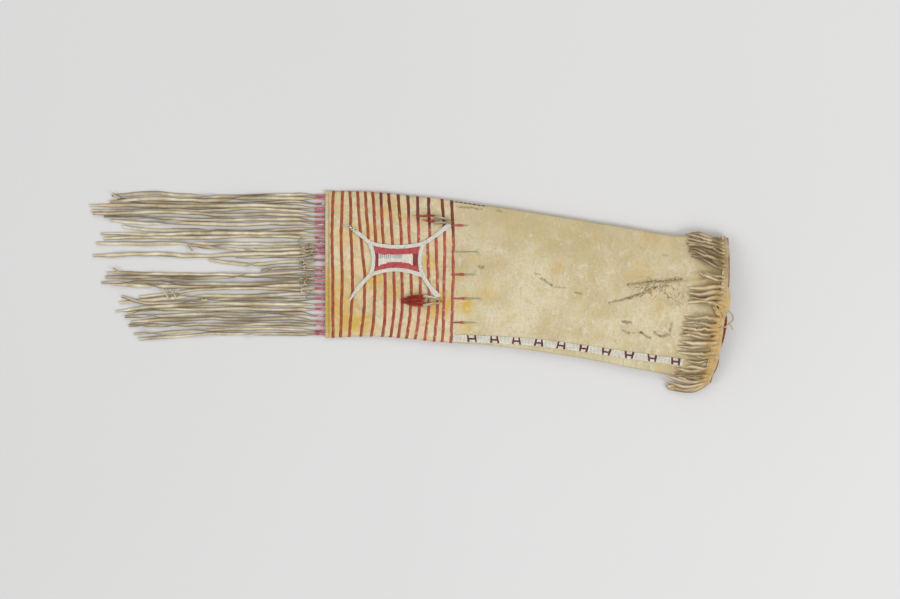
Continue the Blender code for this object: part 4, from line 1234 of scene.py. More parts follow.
def thong_path(number, rng):
    """The course of one thong from the hem to its tip, before it is laid over its neighbours."""
    row = THONGS[number]
    tip_x, tip_y = row[5], row[6]
    knots = [(HEM_X + 0.003, row[0])]
    for x, y in zip(THONG_STATIONS_X, row[:5]):
        if x > tip_x + 0.02:
            knots.append((x, y))
    knots.append((tip_x, tip_y))
    points = smooth_path([(x, y, 0.0) for x, y in knots], THONG_STEPS + 1)
    run = (points[0, 0] - points[:, 0]) / (points[0, 0] - tip_x)
    free = ease((run - 0.06) * 8)
    own = np.stack([points[:, 0], np.full(len(points), rng.uniform(1, 9))], axis=1)
    points[:, 1] += free * (clouds(own, 15.0, 5.0) * 0.0013 + clouds(own, 52.0, 9.0) * 0.0007)
    return points, run


def lay_thongs(paths):
    """Heights that let each second thong ride over those it crosses."""
    heights = []
    for number, (points, _) in enumerate(paths):
        rise = np.zeros(len(points))
        if number % 2:
            for other, (beside, _) in enumerate(paths):
                if other == number or other % 2:
                    continue
                order = np.argsort(beside[:, 0])
                y = np.interp(points[:, 0], beside[order, 0], beside[order, 1], left=9, right=9)
                rise = np.maximum(rise, np.abs(points[:, 1] - y) < CROSSING_REACH)
        window = np.hanning(15)
        rise = np.convolve(np.pad(rise, 7, mode="edge"), window / window.sum(), mode="valid")
        heights.append(CROSSING_RISE * rise)
    return heights


class PIPEBAG_OT_fringe(bpy.types.Operator):
    """Cuts the long fringe: twisted thongs of hide that lie over one another"""

    bl_idname = "pipebag.fringe"
    bl_label = "Long fringe"

    def execute(self, context):
        rng = np.random.default_rng(31)
        paths = [thong_path(number, rng) for number in range(len(THONGS))]
        heights = lay_thongs(paths)
        strips = []
        for number, ((points, run), rise) in enumerate(zip(paths, heights)):
            free = ease((run - 0.055) * 12)
            full = sizes().thong_width * rng.uniform(0.78, 1.16)
            width = CORE_WIDTH + (full - CORE_WIDTH) * free
            own = np.stack([points[:, 0], np.full(len(points), number * 1.7)], axis=1)
            pulse = clouds(own, 24.0, 2.0)
            width = width * (1 + 0.24 * pulse * free)
            width = width + (TIP_WIDTH * rng.uniform(0.7, 1.5) - width) * ease((run - 0.90) * 10)
            twist = free * 1.1 * clouds(own, 22.0, 7.0)
            for flip in rng.uniform(0.15, 0.9, rng.integers(0, 3)):
                twist += rng.choice((-1, 1)) * math.pi * ease((run - flip) / rng.uniform(0.12, 0.26))
            stand = THONG_THICK * 0.5 + np.abs(np.sin(twist)) * width / 2
            points[:, 2] = np.maximum(ROOT_Z * (1 - free), stand * free) + rise * free + 0.0003
            # Each thong's shade level: a random tone and painted shade, more where the thong swells and
            # towards its root by the wraps.
            shade = np.clip(rng.uniform(-0.25, 0.6) + 0.8 * pulse * free + 0.3 * (1 - free), 0, 1)
            strips.append(
                ribbon("thong", points, width, THONG_THICK, twist, 0.16 * free.mean(), number, shade)
            )
        strips += self.tangle(rng)
        fringe = join(strips, "fringe_thongs")
        # The third colour is the painted shade on the thongs' edges and sides.
        finish = strip_finish("fringe_hide", (198, 176, 132), (255, 251, 230), (112, 88, 54), True)
        settle(fringe, [finish.material], "fringe_hide", "fringe_panel")
        return {"FINISHED"}

    def tangle(self, rng):
        """Fine curled offcuts caught between the thongs below the wrapped tops."""
        curls = []
        for number in range(CURLS):
            along = CURL_SPAN[0] + (CURL_SPAN[1] - CURL_SPAN[0]) * number / CURLS
            root = np.array((THONG_STATIONS_X[0], along))
            way = rng.choice((-1, 1))
            lead = rng.uniform(0.004, 0.016)
            radius = rng.uniform(0.0022, 0.0046)
            centre = root + np.array((-lead, way * radius))
            swing = np.linspace(0, rng.uniform(2.2, 5.2), 9)
            shrink = radius * (1 - 0.06 * swing)
            back, aside = shrink * np.sin(swing), way * shrink * np.cos(swing)
            turn = np.stack([centre[0] - back, centre[1] - aside], axis=1)
            flat = np.concatenate([[root, (root + turn[0]) / 2], turn])
            height = 0.0030 + 0.0022 * np.sin(np.linspace(0, 5, len(flat)) + number) ** 2
            path = smooth_path(np.column_stack([flat, height]), CURL_STEPS)
            twist = 0.7 * np.sin(np.arange(CURL_STEPS) / 6 + number)
            shade = rng.uniform(0, 0.9)
            curls.append(ribbon("curl", path, CURL_WIDTH, 0.0006, twist, 0.1, 60 + number, shade))
        for number, knots in enumerate(SPURS):
            path = smooth_path([(x, y, z) for (x, y), z in zip(knots, (0.0040, 0.0052, 0.0030))], 20)
            curls.append(ribbon("spur", path, SPUR_WIDTH, 0.0007, 0.5, 0.15, 90 + number, 0.1))
        return curls


class PIPEBAG_OT_wraps(bpy.types.Operator):
    """Winds dyed quills round the top of each thong"""

    bl_idname = "pipebag.wraps"
    bl_label = "Quill wraps"

    def execute(self, context):
        rng = np.random.default_rng(12)
        red = colours()["wrap_red"]
        turns = WRAP_TURNS / WRAP_LENGTH
        finish = quill_finish("wrapped_quill", red, (222, 148, 154), (244, 220, 216), turns, 0.25)
        share = np.linspace(0, 1, WRAP_STEPS)
        angle = np.linspace(0, 2 * math.pi, WRAP_SIDES + 1)
        for number, row in enumerate(THONGS, start=1):
            x = HEM_X - WRAP_START - WRAP_LENGTH * share
            lean = rng.uniform(-0.0004, 0.0004)
            path = np.stack([x, row[0] + lean * share, np.full(WRAP_STEPS, ROOT_Z + 0.00005)], axis=1)
            coil = np.abs(np.sin(math.pi * WRAP_TURNS * share[:, None] + angle[None] / 2))
            radius = WRAP_RADIUS * (0.86 - 0.10 * ease(share * 3 - 2) - 0.12 * ease(1 - share * 9))
            ridge = WRAP_RADIUS * 0.13 * coil
            name = f"wrapped_quill_{number:02d}"
            wrap = close_seams(tube(name, path, radius, WRAP_SIDES, number, ridge, shade=0.9))
            settle(wrap, [finish], "wrap_quill", f"quill_wrap_{number:02d}")
        return {"FINISHED"}


def quilled_strip(name, shares, turns, width, number, shade, deep=0.0, tip=0.0):
    """A flat band of folded quills laid on the hide along a course."""
    count = len(shares)
    centre = SKIN.at(shares, turns)
    up = SKIN.read(SKIN.normals, np.clip(shares, 0, 1), turns)
    _, side, rise = frames(centre, up)
    across, height = np.array(QUILL_PROFILE).T
    turned = run_along(centre)[:, None] / sizes().quill_pitch
    fold = np.abs(np.sin(math.pi * (turned + across[None] * 0.55)))
    lift = GAP * 0.4 + LINE_THICK * height[None] * (0.72 + 0.28 * fold)
    width = np.broadcast_to(width, count)
    points = (
        centre[:, None]
        + side[:, None] * (across[None, :, None] * width[:, None, None] / 2)
        + rise[:, None] * lift[..., None]
    )
    lay, shades = strip_marks(centre, across[None] * width[:, None] / 2, number, shade)
    strip = grid(name, points, lay, shades)
    for level, values in (("deep", deep), ("tip", tip)):
        mark(strip, level, np.tile(np.broadcast_to(values, count), len(QUILL_PROFILE)))
    return give_wall(strip, QUILL_WALL, -1)


class PIPEBAG_OT_lines(bpy.types.Operator):
    """Sews the quilled lines across the front, round both side folds"""

    bl_idname = "pipebag.lines"
    bl_label = "Quilled lines"

    def execute(self, context):
        rng = np.random.default_rng(5)
        tints = (
            ((146, 58, 30), (188, 98, 56)),
            ((150, 54, 40), (190, 92, 70)),
            ((160, 60, 54), (200, 108, 96)),
        )
        finishes = [
            quill_finish(f"red_quill_{n + 1}", dark, light, (206, 176, 126), 1000, 0.45)
            for n, (dark, light) in enumerate(tints)
        ]
        for number in range(len(LINE_ENDS)):
            strips = [
                self.run_of_quills(number, first, last, lower)
                for first, last, lower in self.runs(number)
            ]
            if number == len(LINE_ENDS) - 1:
                strips += self.ticks(number)
            line = join(strips, f"quilled_line_{number + 1:02d}")
            material = finishes[min(2, int(number / 5 + rng.uniform(-0.3, 0.6)))]
            settle(line, [material], "red_quill", f"quill_line_{number + 1:02d}")
        return {"FINISHED"}

    def runs(self, number):
        """Where each part of a line starts and ends round the bag, and whether it is the lower one."""
        if not CUT_LINES[0] <= number <= CUT_LINES[1]:
            return [(-LINE_END_ROUND, LINE_END_ROUND, True)]
        lower_end, upper_start = CUT_ELSEWHERE.get(number, (CUT_HIGH, CUT_HIGH))
        return [(-LINE_END_ROUND, lower_end, True), (upper_start, LINE_END_ROUND, False)]

    def run_of_quills(self, number, first, last, lower):
        """One unbroken run of a line."""
        turns = np.linspace(first, last, int(180 * (last - first)))
        own = np.stack([turns, np.full(len(turns), number)], axis=1)
        wander = clouds(own, 3.2, 2.0) * 0.0007 + clouds(own, 14.0, 4.0) * 0.0003
        shares = (line_run(number, turns) + line_bend(number, turns, lower) + wander) / BAG_LENGTH
        width = LINE_WIDTH * (0.98 + 0.18 * clouds(own, 12.0, 6.0))
        worn = np.full(len(turns), 0.35 if number < 8 else 1.0)
        deep = ease((turns - (0.98 - 0.04 * number)) * 9) * (0.5 if number < 6 else 1.0)
        return quilled_strip("line", shares, turns, width, number, worn, deep)

    def ticks(self, number):
        """The five short bands that stand on the last line towards the mouth."""
        bands = []
        root = HEM_X + line_run(number, 0.0)
        run = np.linspace(0, 1, TICK_STEPS)
        for count, (y, reach, red_end) in enumerate(zip(TICK_Y, TICK_REACH, TICK_RED)):
            x = np.linspace(root, root + reach, TICK_STEPS)
            share, turn = SKIN.find(x, np.full(TICK_STEPS, y))
            left_over = TICK_WORN_WIDTH if red_end < 0.1 else 1.0
            width = left_over * TICK_WIDTH * np.interp(run, *zip(*TICK_SHAPE))
            tip = ease((run - red_end) * 10) * 0.9
            bands.append(quilled_strip("tick", share, turn, width, 20 + count, 0.7, 0.0, tip))
        return bands


class PIPEBAG_OT_collar(bpy.types.Operator):
    """Cuts the collar: a header round the mouth and its hanging strands, front and back"""

    bl_idname = "pipebag.collar"
    bl_label = "Mouth collar"

    def execute(self, context):
        rng = np.random.default_rng(77)
        finish = self.collar_finish()
        pieces = [self.header()]
        number = 100
        for first, last, first_tip, last_tip, count, width, lift in STRAND_GROUPS:
            for n in range(count):
                share = n / max(count - 1, 1)
                root_y = first + (last - first) * share
                tip = [a + (b - a) * share for a, b in zip(first_tip, last_tip)]
                # The strands of the upper group are darker.
                darker = 0.20 if first_tip[1] > 0.05 else 0.0
                pieces.append(self.strand(root_y, tip, width, lift, number, rng, darker))
                number += 1
        for knots in (*SIDE_STRANDS, SIDE_LOOP):
            steps = 40
            path = smooth_path(knots, steps)
            twist = 0.5 * np.sin(np.linspace(0, 4, steps) + number)
            width = LOOSE_STRAND_WIDTH * (1 - 0.65 * ease(np.linspace(0, 1, steps) * 3 - 2))
            pieces.append(ribbon("strand", path, width, COLLAR_THICK * 0.8, twist, 0.14, number))
            number += 1
        collar = join(pieces, "mouth_collar")
        settle(collar, [finish.material], "collar_hide", "front_collar_fringe")
        self.back(rng, finish.material)
        return {"FINISHED"}

    def collar_finish(self):
        """Cut hide, stained ochre towards the rim."""
        # The third colour is the painted shade between and under the strands.
        finish = strip_finish("collar_hide", (198, 166, 118), (252, 238, 204), (96, 70, 36))
        place = finish.place()
        across = finish.split(place, 1)
        from_mouth = finish.split(place, 0) - across * 0.13
        ochre = from_mouth.span(0.350, 0.376) * across.span(0.030, -0.030, 0.22, 0.8)
        patch = finish.cloud(place, 160.0, 3.0)
        before = finish.shader.inputs["Base Color"].links[0].from_socket
        stain = ochre * patch.span(0.25, 0.60)
        finish.colour(finish.mix(stain, Value(finish, before), paint(214, 178, 108)))
        return finish

    def header(self):
        """The uncut edge of the collar, sewn along the rim."""
        edge_y, edge_x = np.array(HEADER_EDGE).T
        rows = []
        for turn in np.linspace(-1.12, 1.06, 150):
            rim = SKIN.at(1.0, turn)
            out = float(np.interp(rim[1], edge_y, edge_x)) - float(rim[0])
            out = min(max(out, -0.0030), 0.0045) - 0.0040 * float(ease((turn - 0.86) / 0.18))
            column = []
            for depth in np.linspace(0, 1, 9):
                back = out - (out + HEADER_DEPTH + HEADER_DEEPER * (1 - turn) / 2) * depth
                share = 1 + back / BAG_LENGTH
                pucker = 0.0004 * math.sin(turn * 95) + 0.0003 * math.sin(turn * 41 + 5 * depth)
                droop = 0.0016 * max(back, 0) / 0.0045
                lift = GAP + COLLAR_THICK / 2 + 0.0004 + pucker - droop
                column.append(SKIN.at(share, turn, lift))
            rows.append(column)
        points = np.array(rows)[:, ::-1]
        return give_wall(grid("header", points, shade=np.full(points.shape[:2], 0.15)), COLLAR_THICK)

    def strand(self, root_y, tip, width, lift, number, rng, darker):
        """One strand from the header, over the hide, to its tip."""
        steps = 34
        rim = SKIN.at(1.0, SKIN.find(0.372, root_y)[1])
        root = np.array([rim[0] - HEADER_DEPTH * 0.75, root_y])
        tip = np.array(tip) + rng.uniform(-0.0015, 0.0015, 2) * (1.4, 0.5)
        run = np.linspace(0, 1, steps)
        flat = root + (tip - root) * run[:, None]
        flat[:, 1] += (tip[1] - root[1]) * (ease(run) - run) * 0.8
        flat[:, 1] += 0.0012 * np.sin(run * rng.uniform(3, 7) + rng.uniform(0, 6)) * ease(run * 3)
        arch = lift * rng.uniform(0.5, 1.2) * np.sin(math.pi * run**0.8) ** 1.2
        lifts = COLLAR_THICK * 0.6 + GAP + arch + 0.0006 * (number % 3)
        path = SKIN.over(flat[:, 0], flat[:, 1], lifts)
        twist = ease(run * 2.5) * rng.uniform(0.2, 0.8)
        twist = twist * np.sin(run * rng.uniform(2, 5) + rng.uniform(0, 6))
        widths = width * (0.82 + 0.18 * np.sin(run * 5 + number)) * (1 - 0.45 * ease(run * 4 - 3))
        # Painted shadow where the strand comes out from under the header.
        header_shadow = 0.6 * np.exp(-(((run - 0.16) / 0.12) ** 2))
        shade = np.clip(rng.uniform(-0.1, 0.35) + darker + header_shadow, 0, 1)
        return ribbon("strand", path, widths, COLLAR_THICK * 0.75, twist, 0.22, number, shade)

    def back(self, rng, material):
        """The collar's back half, pressed between the bag and the floor."""
        half = HALF_WIDTH[-1][1] - BACK_MARGIN
        flat_z = COLLAR_THICK / 2
        header = []
        for across in np.linspace(-half, half, 40):
            x, y = self.on_rim(across)
            header.append([(x - depth, y, flat_z) for depth in BACK_HEADER])
        strips = [give_wall(grid("back_header", np.array(header)), COLLAR_THICK * 0.9)]
        run = np.linspace(0, 1, 12)
        for n in range(BACK_STRANDS):
            x, y = self.on_rim(-half + 2 * half * (n + 0.5) / BACK_STRANDS)
            length = BACK_LENGTH * rng.uniform(0.85, 1.0)
            waved = y + 0.0008 * np.sin(run * 5 + n)
            path = np.stack([x - 0.010 - length * run, waved, np.full(len(run), flat_z)], axis=1)
            width = LOOSE_STRAND_WIDTH * (1 - 0.5 * ease(run * 4 - 3))
            strips.append(ribbon("strand", path, width, COLLAR_THICK * 0.8, 0.0, 0.0, 300 + n, 0.3))
        collar = join(strips, "mouth_collar_back")
        settle(collar, [material], "collar_hide", "back_collar_fringe")

    @staticmethod
    def on_rim(across):
        """X and Y of the rim at a distance across from its middle."""
        angle = math.radians(TURN_DEG[-1][1])
        bulge = BOW[-1][1] * (1 - (across / HALF_WIDTH[-1][1]) ** 2)
        x = HEM_X + BAG_LENGTH + math.sin(angle) * across + bulge
        return x, CENTRE_Y[-1][1] + math.cos(angle) * across


class PIPEBAG_OT_edging(bpy.types.Operator):
    """Binds the rim with red cloth and draws the lace through the header"""

    bl_idname = "pipebag.edging"
    bl_label = "Rim binding and lace"

    def execute(self, context):
        turns = np.linspace(-BACK_MIDDLE, BACK_MIDDLE, BINDING_STEPS)
        mouth = np.ones(BINDING_STEPS)
        rim = SKIN.at(mouth, turns, -0.0007)
        y = rim[:, 1]
        shown = np.exp(-(((y + 0.048) / 0.018) ** 4)) + np.exp(-(((y + 0.088) / 0.010) ** 4))
        reach = 0.0009 + 0.0022 * np.clip(shown, 0, 1)
        angle = np.linspace(0, 2 * math.pi, 11)
        loop = np.stack([(0.5 + 0.5 * np.cos(angle)), 0.5 * np.sin(angle)], axis=1)
        inward = -SKIN.read(SKIN.normals, mouth, turns)
        inward[:, 0] = 0
        inward /= np.maximum(np.linalg.norm(inward, axis=1, keepdims=True), 1e-6)
        wave = 0.0002 * np.sin(turns * 60)
        depth = loop[None, :, 1] * BINDING_DEPTH + wave[:, None]
        points = rim[:, None] + inward[:, None] * depth[..., None]
        points[..., 0] += loop[None, :, 0] * reach[:, None]
        points[..., 2] = np.maximum(points[..., 2], 0.0002)
        binding = grid("rim_binding", points)
        close_seams(binding, 2e-5)
        finish = cloth_finish("red_binding", (110, 34, 24), (152, 62, 44), (170, 130, 96))
        settle(binding, [finish], "red_binding", "mouth_edging")
        header_z = SKIN.over(0.372, -0.0335)[2]
        course, tail = (
            smooth_path([(x, y, header_z + lift) for x, y, lift in knots], steps)
            for knots, steps in ((LACE_KNOTS, 48), (LACE_TAIL, 16))
        )
        twist = 0.9 * np.sin(np.linspace(0, 5, len(course)))
        lace = ribbon("lace", course, LACE_WIDTH, 0.0008, twist, 0.1, 400, 0.05)
        end = ribbon("lace_tail", tail, LACE_TAIL_WIDTH, 0.0007, 0.4, 0.1, 401, 0.2)
        pale = strip_finish("lace_hide", (176, 160, 132), (222, 210, 186), (130, 110, 80))
        settle(join([lace, end], "header_lace"), [pale.material], "fringe_hide", "tie_thong")
        return {"FINISHED"}


class PIPEBAG_OT_lane(bpy.types.Operator):
    """Sews the bead lane: rows of eight beads, with ten two-post figures in dark beads"""

    bl_idname = "pipebag.lane"
    bl_label = "Bead lane"

    def execute(self, context):
        from_hem = LINE_ENDS[-1][1] + LINE_WIDTH / 2 + LANE_LINE_GAP
        length = BAG_LENGTH - LANE_MOUTH_GAP - from_hem
        rows = int(length / ROW_PITCH)
        figures = LANE_FIRST + LANE_PITCH * np.arange(LANE_FIGURES)
        centres, kinds = [], []
        for row in range(rows):
            distance = (row + 0.5) * ROW_PITCH
            step = np.abs(figures - distance).min() / ROW_PITCH
            post = WEB_ROWS / 2 <= step < WEB_ROWS / 2 + POST_ROWS
            web = step < WEB_ROWS / 2
            lean = 0.0008 * math.sin(distance * 2 * math.pi / 0.031)
            for bead in range(LANE_BEADS):
                across = bead - (LANE_BEADS - 1) / 2
                slant = lean * across / 3 + 0.00012 * math.sin(row * 1.7)
                share = (from_hem + distance + slant) / BAG_LENGTH
                turn = LANE_T_START + (LANE_T_END - LANE_T_START) * distance / length
                turn += across * LANE_BEAD / knot_values(HALF_WIDTH, share)
                hump = LANE_HUMP * (1 - (across / 4.2) ** 2)
                centres.append((share, turn, GAP + 0.00055 + hump))
                kinds.append(int(post or (web and abs(across) < 1)))
        share, turn, lift = np.array(centres).T
        places = SKIN.at(share, turn, lift)
        beside = SKIN.at(share, turn + 0.004, lift)
        normals = SKIN.read(SKIN.normals, share, turn)
        laid = (places, beside - places, normals, kinds)
        lane = string_beads("beaded_lane", *laid, 0.00004, 9, LANE_BEAD)
        whites = bead_finish("white_beads", colours()["bead_white"], (234, 230, 218))
        darks = bead_finish("dark_beads", (96, 22, 30), (122, 36, 40))
        settle(lane, [whites, darks], "white_beads", "bead_lane", smooth=80)
        return {"FINISHED"}


def bowed_side(number, offset):
    """Points along one side of the figure, which bows towards its middle."""
    start = np.array(FIGURE_CORNERS[number])
    end = np.array(FIGURE_CORNERS[(number + 1) % 4])
    run = (end - start) / np.linalg.norm(end - start)
    outward = np.array((run[1], -run[0]))
    if outward @ (start + end) < 0:
        outward = -outward
    share = np.linspace(0.02, 0.98, 60)[:, None]
    sag = 4 * share * (1 - share) * SIDE_SAGS[number]
    return start + (end - start) * share + outward * (offset - sag)


class PIPEBAG_OT_figure(bpy.types.Operator):
    """Sews the beaded figure: a white border with four rays, and its red field"""

    bl_idname = "pipebag.figure"
    bl_label = "Beaded figure"

    def execute(self, context):
        whites = bead_finish("border_beads", (255, 253, 242), (228, 232, 222))
        sides = [bowed_side(n, 0.0) for n in range(4)]
        border = self.rows_along(sides, [(BORDER_BEADS, BORDER_BEADS, 2.0)] * 4)
        rays = []
        for n in range(4):
            corner, tip = np.array(FIGURE_CORNERS[n]), np.array(FIGURE_TIPS[n])
            share = np.linspace(-0.02, 1, 40)[:, None]
            bend = np.array((tip[1] - corner[1], corner[0] - tip[0])) * 0.03
            rays.append(corner + (tip - corner) * share + bend * np.sin(share * math.pi))
        wide = self.rows_along(rays, RAY_SPREAD)
        sewn = [np.concatenate(pair) for pair in zip(border, wide)]
        places = sewn[0]
        roomy = []
        for number, place in enumerate(places):
            if not roomy or np.linalg.norm(places[roomy] - place, axis=1).min() > BEAD_ROOM:
                roomy.append(number)
        sewn = [table[roomy] for table in sewn]
        frame_piece = string_beads("beaded_border", *sewn, 0.00006, 21)
        worn = bead_finish("worn_beads", (186, 160, 116), (120, 96, 64))
        settle(frame_piece, [whites, worn], "white_beads", "motif_frame", smooth=80)
        self.field()
        return {"FINISHED"}

    def rows_along(self, courses, spreads):
        """Rows of beads laid across each course: as many as its spread says, worn towards its end."""
        chance = random.Random(17)
        spots, beside, kinds = [], [], []
        for course, (first, last, worn) in zip(courses, spreads):
            run = run_along(course)
            stops = np.arange(ROW_PITCH / 2, run[-1], ROW_PITCH)
            x, y = (np.interp(stops, run, column) for column in course.T)
            heading = np.stack([np.gradient(x), np.gradient(y)], axis=1)
            heading /= np.linalg.norm(heading, axis=1, keepdims=True)
            for stop, place, way in zip(stops / run[-1], zip(x, y), heading):
                across = np.array((-way[1], way[0]))
                beads = round(first + (last - first) * max(stop * 2 - 1, 0))
                for bead in range(beads):
                    if stop > worn and chance.random() < 0.12:
                        continue
                    offset = (bead - (beads - 1) / 2) * BEAD_ALONG_THREAD
                    spots.append(np.array(place) + across * offset)
                    beside.append(across)
                    kinds.append(int(stop > worn and chance.random() < 0.45))
        return *self.on_bag(np.array(spots), np.array(beside)), np.array(kinds)

    def on_bag(self, spots, beside):
        """Lays flat spots on the front: their places, their threads and the way up."""
        x = HEM_X + FIGURE_CENTRE[0] + spots[:, 0]
        y = FIGURE_CENTRE[1] + spots[:, 1]
        lift = GAP + LINE_THICK + 0.0007
        places = SKIN.over(x, y, lift)
        ahead = SKIN.over(x + beside[:, 0] * 0.001, y + beside[:, 1] * 0.001, lift)
        share, turn = SKIN.find(x, y)
        return places, ahead - places, SKIN.read(SKIN.normals, share, turn)

    def field(self):
        """Red rows inside the border, with dark side bars and a pale hatched window."""
        inset = BORDER_BEADS * BEAD_ALONG_THREAD / 2 + 0.0004
        top, left, bottom, right = (bowed_side(n, -inset) for n in range(4))
        top, bottom = top[np.argsort(top[:, 0])], bottom[np.argsort(bottom[:, 0])]
        left, right = left[np.argsort(left[:, 1])], right[np.argsort(right[:, 1])]
        (window_left, window_right), (window_low, window_high) = FIELD_WINDOW
        spots, kinds = [], []
        for x in np.arange(left[:, 0].min(), right[:, 0].max(), ROW_PITCH):
            high = np.interp(x, top[:, 0], top[:, 1])
            low = np.interp(x, bottom[:, 0], bottom[:, 1])
            count = int((high - low) / BEAD_ALONG_THREAD)
            for bead in range(count):
                y = low + (bead + 0.5) * (high - low) / count
                edge_left = np.interp(y, left[:, 1], left[:, 0])
                edge_right = np.interp(y, right[:, 1], right[:, 0])
                if not edge_left < x < edge_right:
                    continue
                bow = (x / window_right) ** 2
                low_edge = window_low - WINDOW_BOW[0] * bow
                in_band = low_edge < y < window_high + WINDOW_BOW[1] * bow
                in_window = in_band and window_left < x < window_right
                kind = 1 if in_band else 0
                if in_window:
                    hatch = round(x / ROW_PITCH) % 2 and x < HATCH_END
                    kind = 3 if y > HATCH_FLOOR and hatch else 2
                spots.append((x, y))
                kinds.append(kind)
        spots = np.array(spots)
        beside = np.tile((0.0, 1.0), (len(spots), 1))
        field = string_beads("beaded_field", *self.on_bag(spots, beside), kinds, 0.00004, 33)
        materials = [
            bead_finish("red_beads", colours()["bead_red"], (222, 106, 110)),
            bead_finish("dark_red_beads", (146, 40, 50), (172, 66, 70)),
            bead_finish("window_beads", (255, 252, 238), (248, 244, 226)),
            bead_finish("grey_blue_beads", (150, 158, 174), (206, 208, 210)),
        ]
        settle(field, materials, "red_beads", "motif_field", smooth=80)


def cone_axis(number):
    """Where a cone's tip and base lie on the front."""
    tip, base = CONES[number]
    high = SKIN.over(HEM_X + tip[0], tip[1], 0.0026 + CONE_TIP)
    low = SKIN.over(HEM_X + base[0], base[1], 0.0021 + CONE_BASE)
    return high, low


class PIPEBAG_OT_cones(bpy.types.Operator):
    """Rolls the four tin cones"""

    bl_idname = "pipebag.cones"
    bl_label = "Tin cones"

    def execute(self, context):
        dull = tin_finish("dark_tin", (200, 184, 160), (124, 102, 78))
        bright = tin_finish("bright_tin", (226, 212, 188), (156, 126, 90))
        share = np.linspace(0, 1, 22)[:, None]
        angle = np.linspace(LAP_START, LAP_START + 2 * math.pi + LAP, 26)
        narrow = CONE_TIP * 0.72
        for number in range(len(CONES)):
            high, low = cone_axis(number)
            radius = narrow + (CONE_BASE - narrow) * share**0.9
            radius = radius * (1 + 0.03 * np.sin(3 * angle + number) * share)
            radius = radius + 0.00022 * (angle[None] - LAP_START) / (2 * math.pi)
            points = rolled(high + (low - high) * share, angle, radius, 0.92)
            cone = give_wall(grid(f"rolled_cone_{number + 1}", points), TIN_WALL)
            material = dull if number < 2 else bright
            settle(cone, [material], "tin", f"tin_cone_{number + 1:02d}")
        return {"FINISHED"}


class PIPEBAG_OT_hair(bpy.types.Operator):
    """Ties the dyed hair and its thongs through each pair of cones"""

    bl_idname = "pipebag.hair"
    bl_label = "Hair tufts"

    def execute(self, context):
        rng = np.random.default_rng(4)
        red = hair_finish("dyed_hair", (162, 38, 40), (220, 126, 70))
        core = strip_finish("tuft_hide", (132, 92, 48), (176, 130, 74), (96, 40, 28))
        for pair in range(2):
            ends = [cone_axis(2 * pair + side) for side in range(2)]
            beyond = [high + (high - low) / np.linalg.norm(high - low) * KNOT_REACH for high, low in ends]
            knot = sum(beyond) / 2
            deselect()
            bpy.ops.mesh.primitive_ico_sphere_add(
                subdivisions=2, radius=KNOT_RADIUS, location=tuple(knot)
            )
            ball = bpy.context.object
            bpy.ops.object.transform_apply(location=True, rotation=False, scale=False)
            mark(ball, "lay", np.array([vertex.co for vertex in ball.data.vertices]))
            mark(ball, "shade", np.full(len(ball.data.vertices), 0.3))
            parts = [ball]
            for side, (high, low) in enumerate(ends):
                number = 2 * pair + side
                leg = smooth_path([knot, high, (high + low) / 2, low], 14)
                parts.append(cap_ends(tube("leg", leg, LEG_RADIUS, 8, number, shade=0.2)))
                parts.append(self.strands(number, high, low, rng))
            tuft = join(parts, f"hair_{pair + 1}")
            settle(tuft, [core.material, red], "hair", f"hair_tuft_{pair + 1:02d}")
            centres = np.array([polygon.center for polygon in tuft.data.polygons])
            base_x = min(low[0] for _, low in ends) + 0.0008
            tuft.data.polygons.foreach_set("material_index", (centres[:, 0] < base_x).astype(np.int32))
        return {"FINISHED"}

    def strands(self, number, high, low, rng):
        """Fine hair from the cone's mouth to the tuft's end."""
        end_x, end_y = HAIR_ENDS[number]
        end = SKIN.over(HEM_X + end_x, end_y, 0.0016)
        run = low - high
        start = low - run / np.linalg.norm(run) * 0.0030
        spread = HAIR_SPREAD[number]
        hairs = []
        for _ in range(HAIR_COUNT[number]):
            swell = np.array([rng.normal(0, 0.3), rng.normal(0, 0.55), abs(rng.normal(0, 0.4))])
            swell = swell * spread
            root = start + rng.normal(0, 0.0005, 3)
            stop = end + np.array([rng.uniform(-0.002, 0.010), *(rng.normal(0, 0.30, 2) * spread)])
            middle = low * 0.42 + end * 0.58 + swell
            inward = np.array((0.0, end[1] - low[1], 0.0)) * rng.uniform(0, 0.95)
            points = smooth_path([root, low + swell * 0.5 + inward, middle, stop], 8)
            floor_z = SKIN.over(points[:, 0], points[:, 1])[:, 2] + 0.0012
            points[:, 2] = np.maximum(points[:, 2], floor_z)
            hairs.append(points)
        return self.hair_mesh(hairs, rng)

    def hair_mesh(self, hairs, rng):
        """The hairs as one mesh of fine tubes."""
        curve = bpy.data.curves.new("hairs", "CURVE")
        curve.dimensions = "3D"
        curve.bevel_depth = HAIR_RADIUS
        curve.bevel_resolution = 0
        curve.use_fill_caps = True
        for points in hairs:
            spline = curve.splines.new("POLY")
            spline.points.add(len(points) - 1)
            for count, (point, place) in enumerate(zip(spline.points, points)):
                point.co = (*place, 1)
                point.radius = 1.25 - 0.9 * count / (len(points) - 1)
        obj = bpy.data.objects.new("hairs", curve)
        bpy.context.scene.collection.objects.link(obj)
        deselect()
        obj.select_set(True)
        bpy.context.view_layer.objects.active = obj
        bpy.ops.object.convert(target="MESH")
        made = bpy.context.object
        count = len(made.data.vertices)
        each = count // len(hairs)
        mark(made, "lay", np.zeros((count, 3)))
        mark(made, "shade", np.repeat(rng.uniform(0, 1, len(hairs)), each)[:count])
        return made


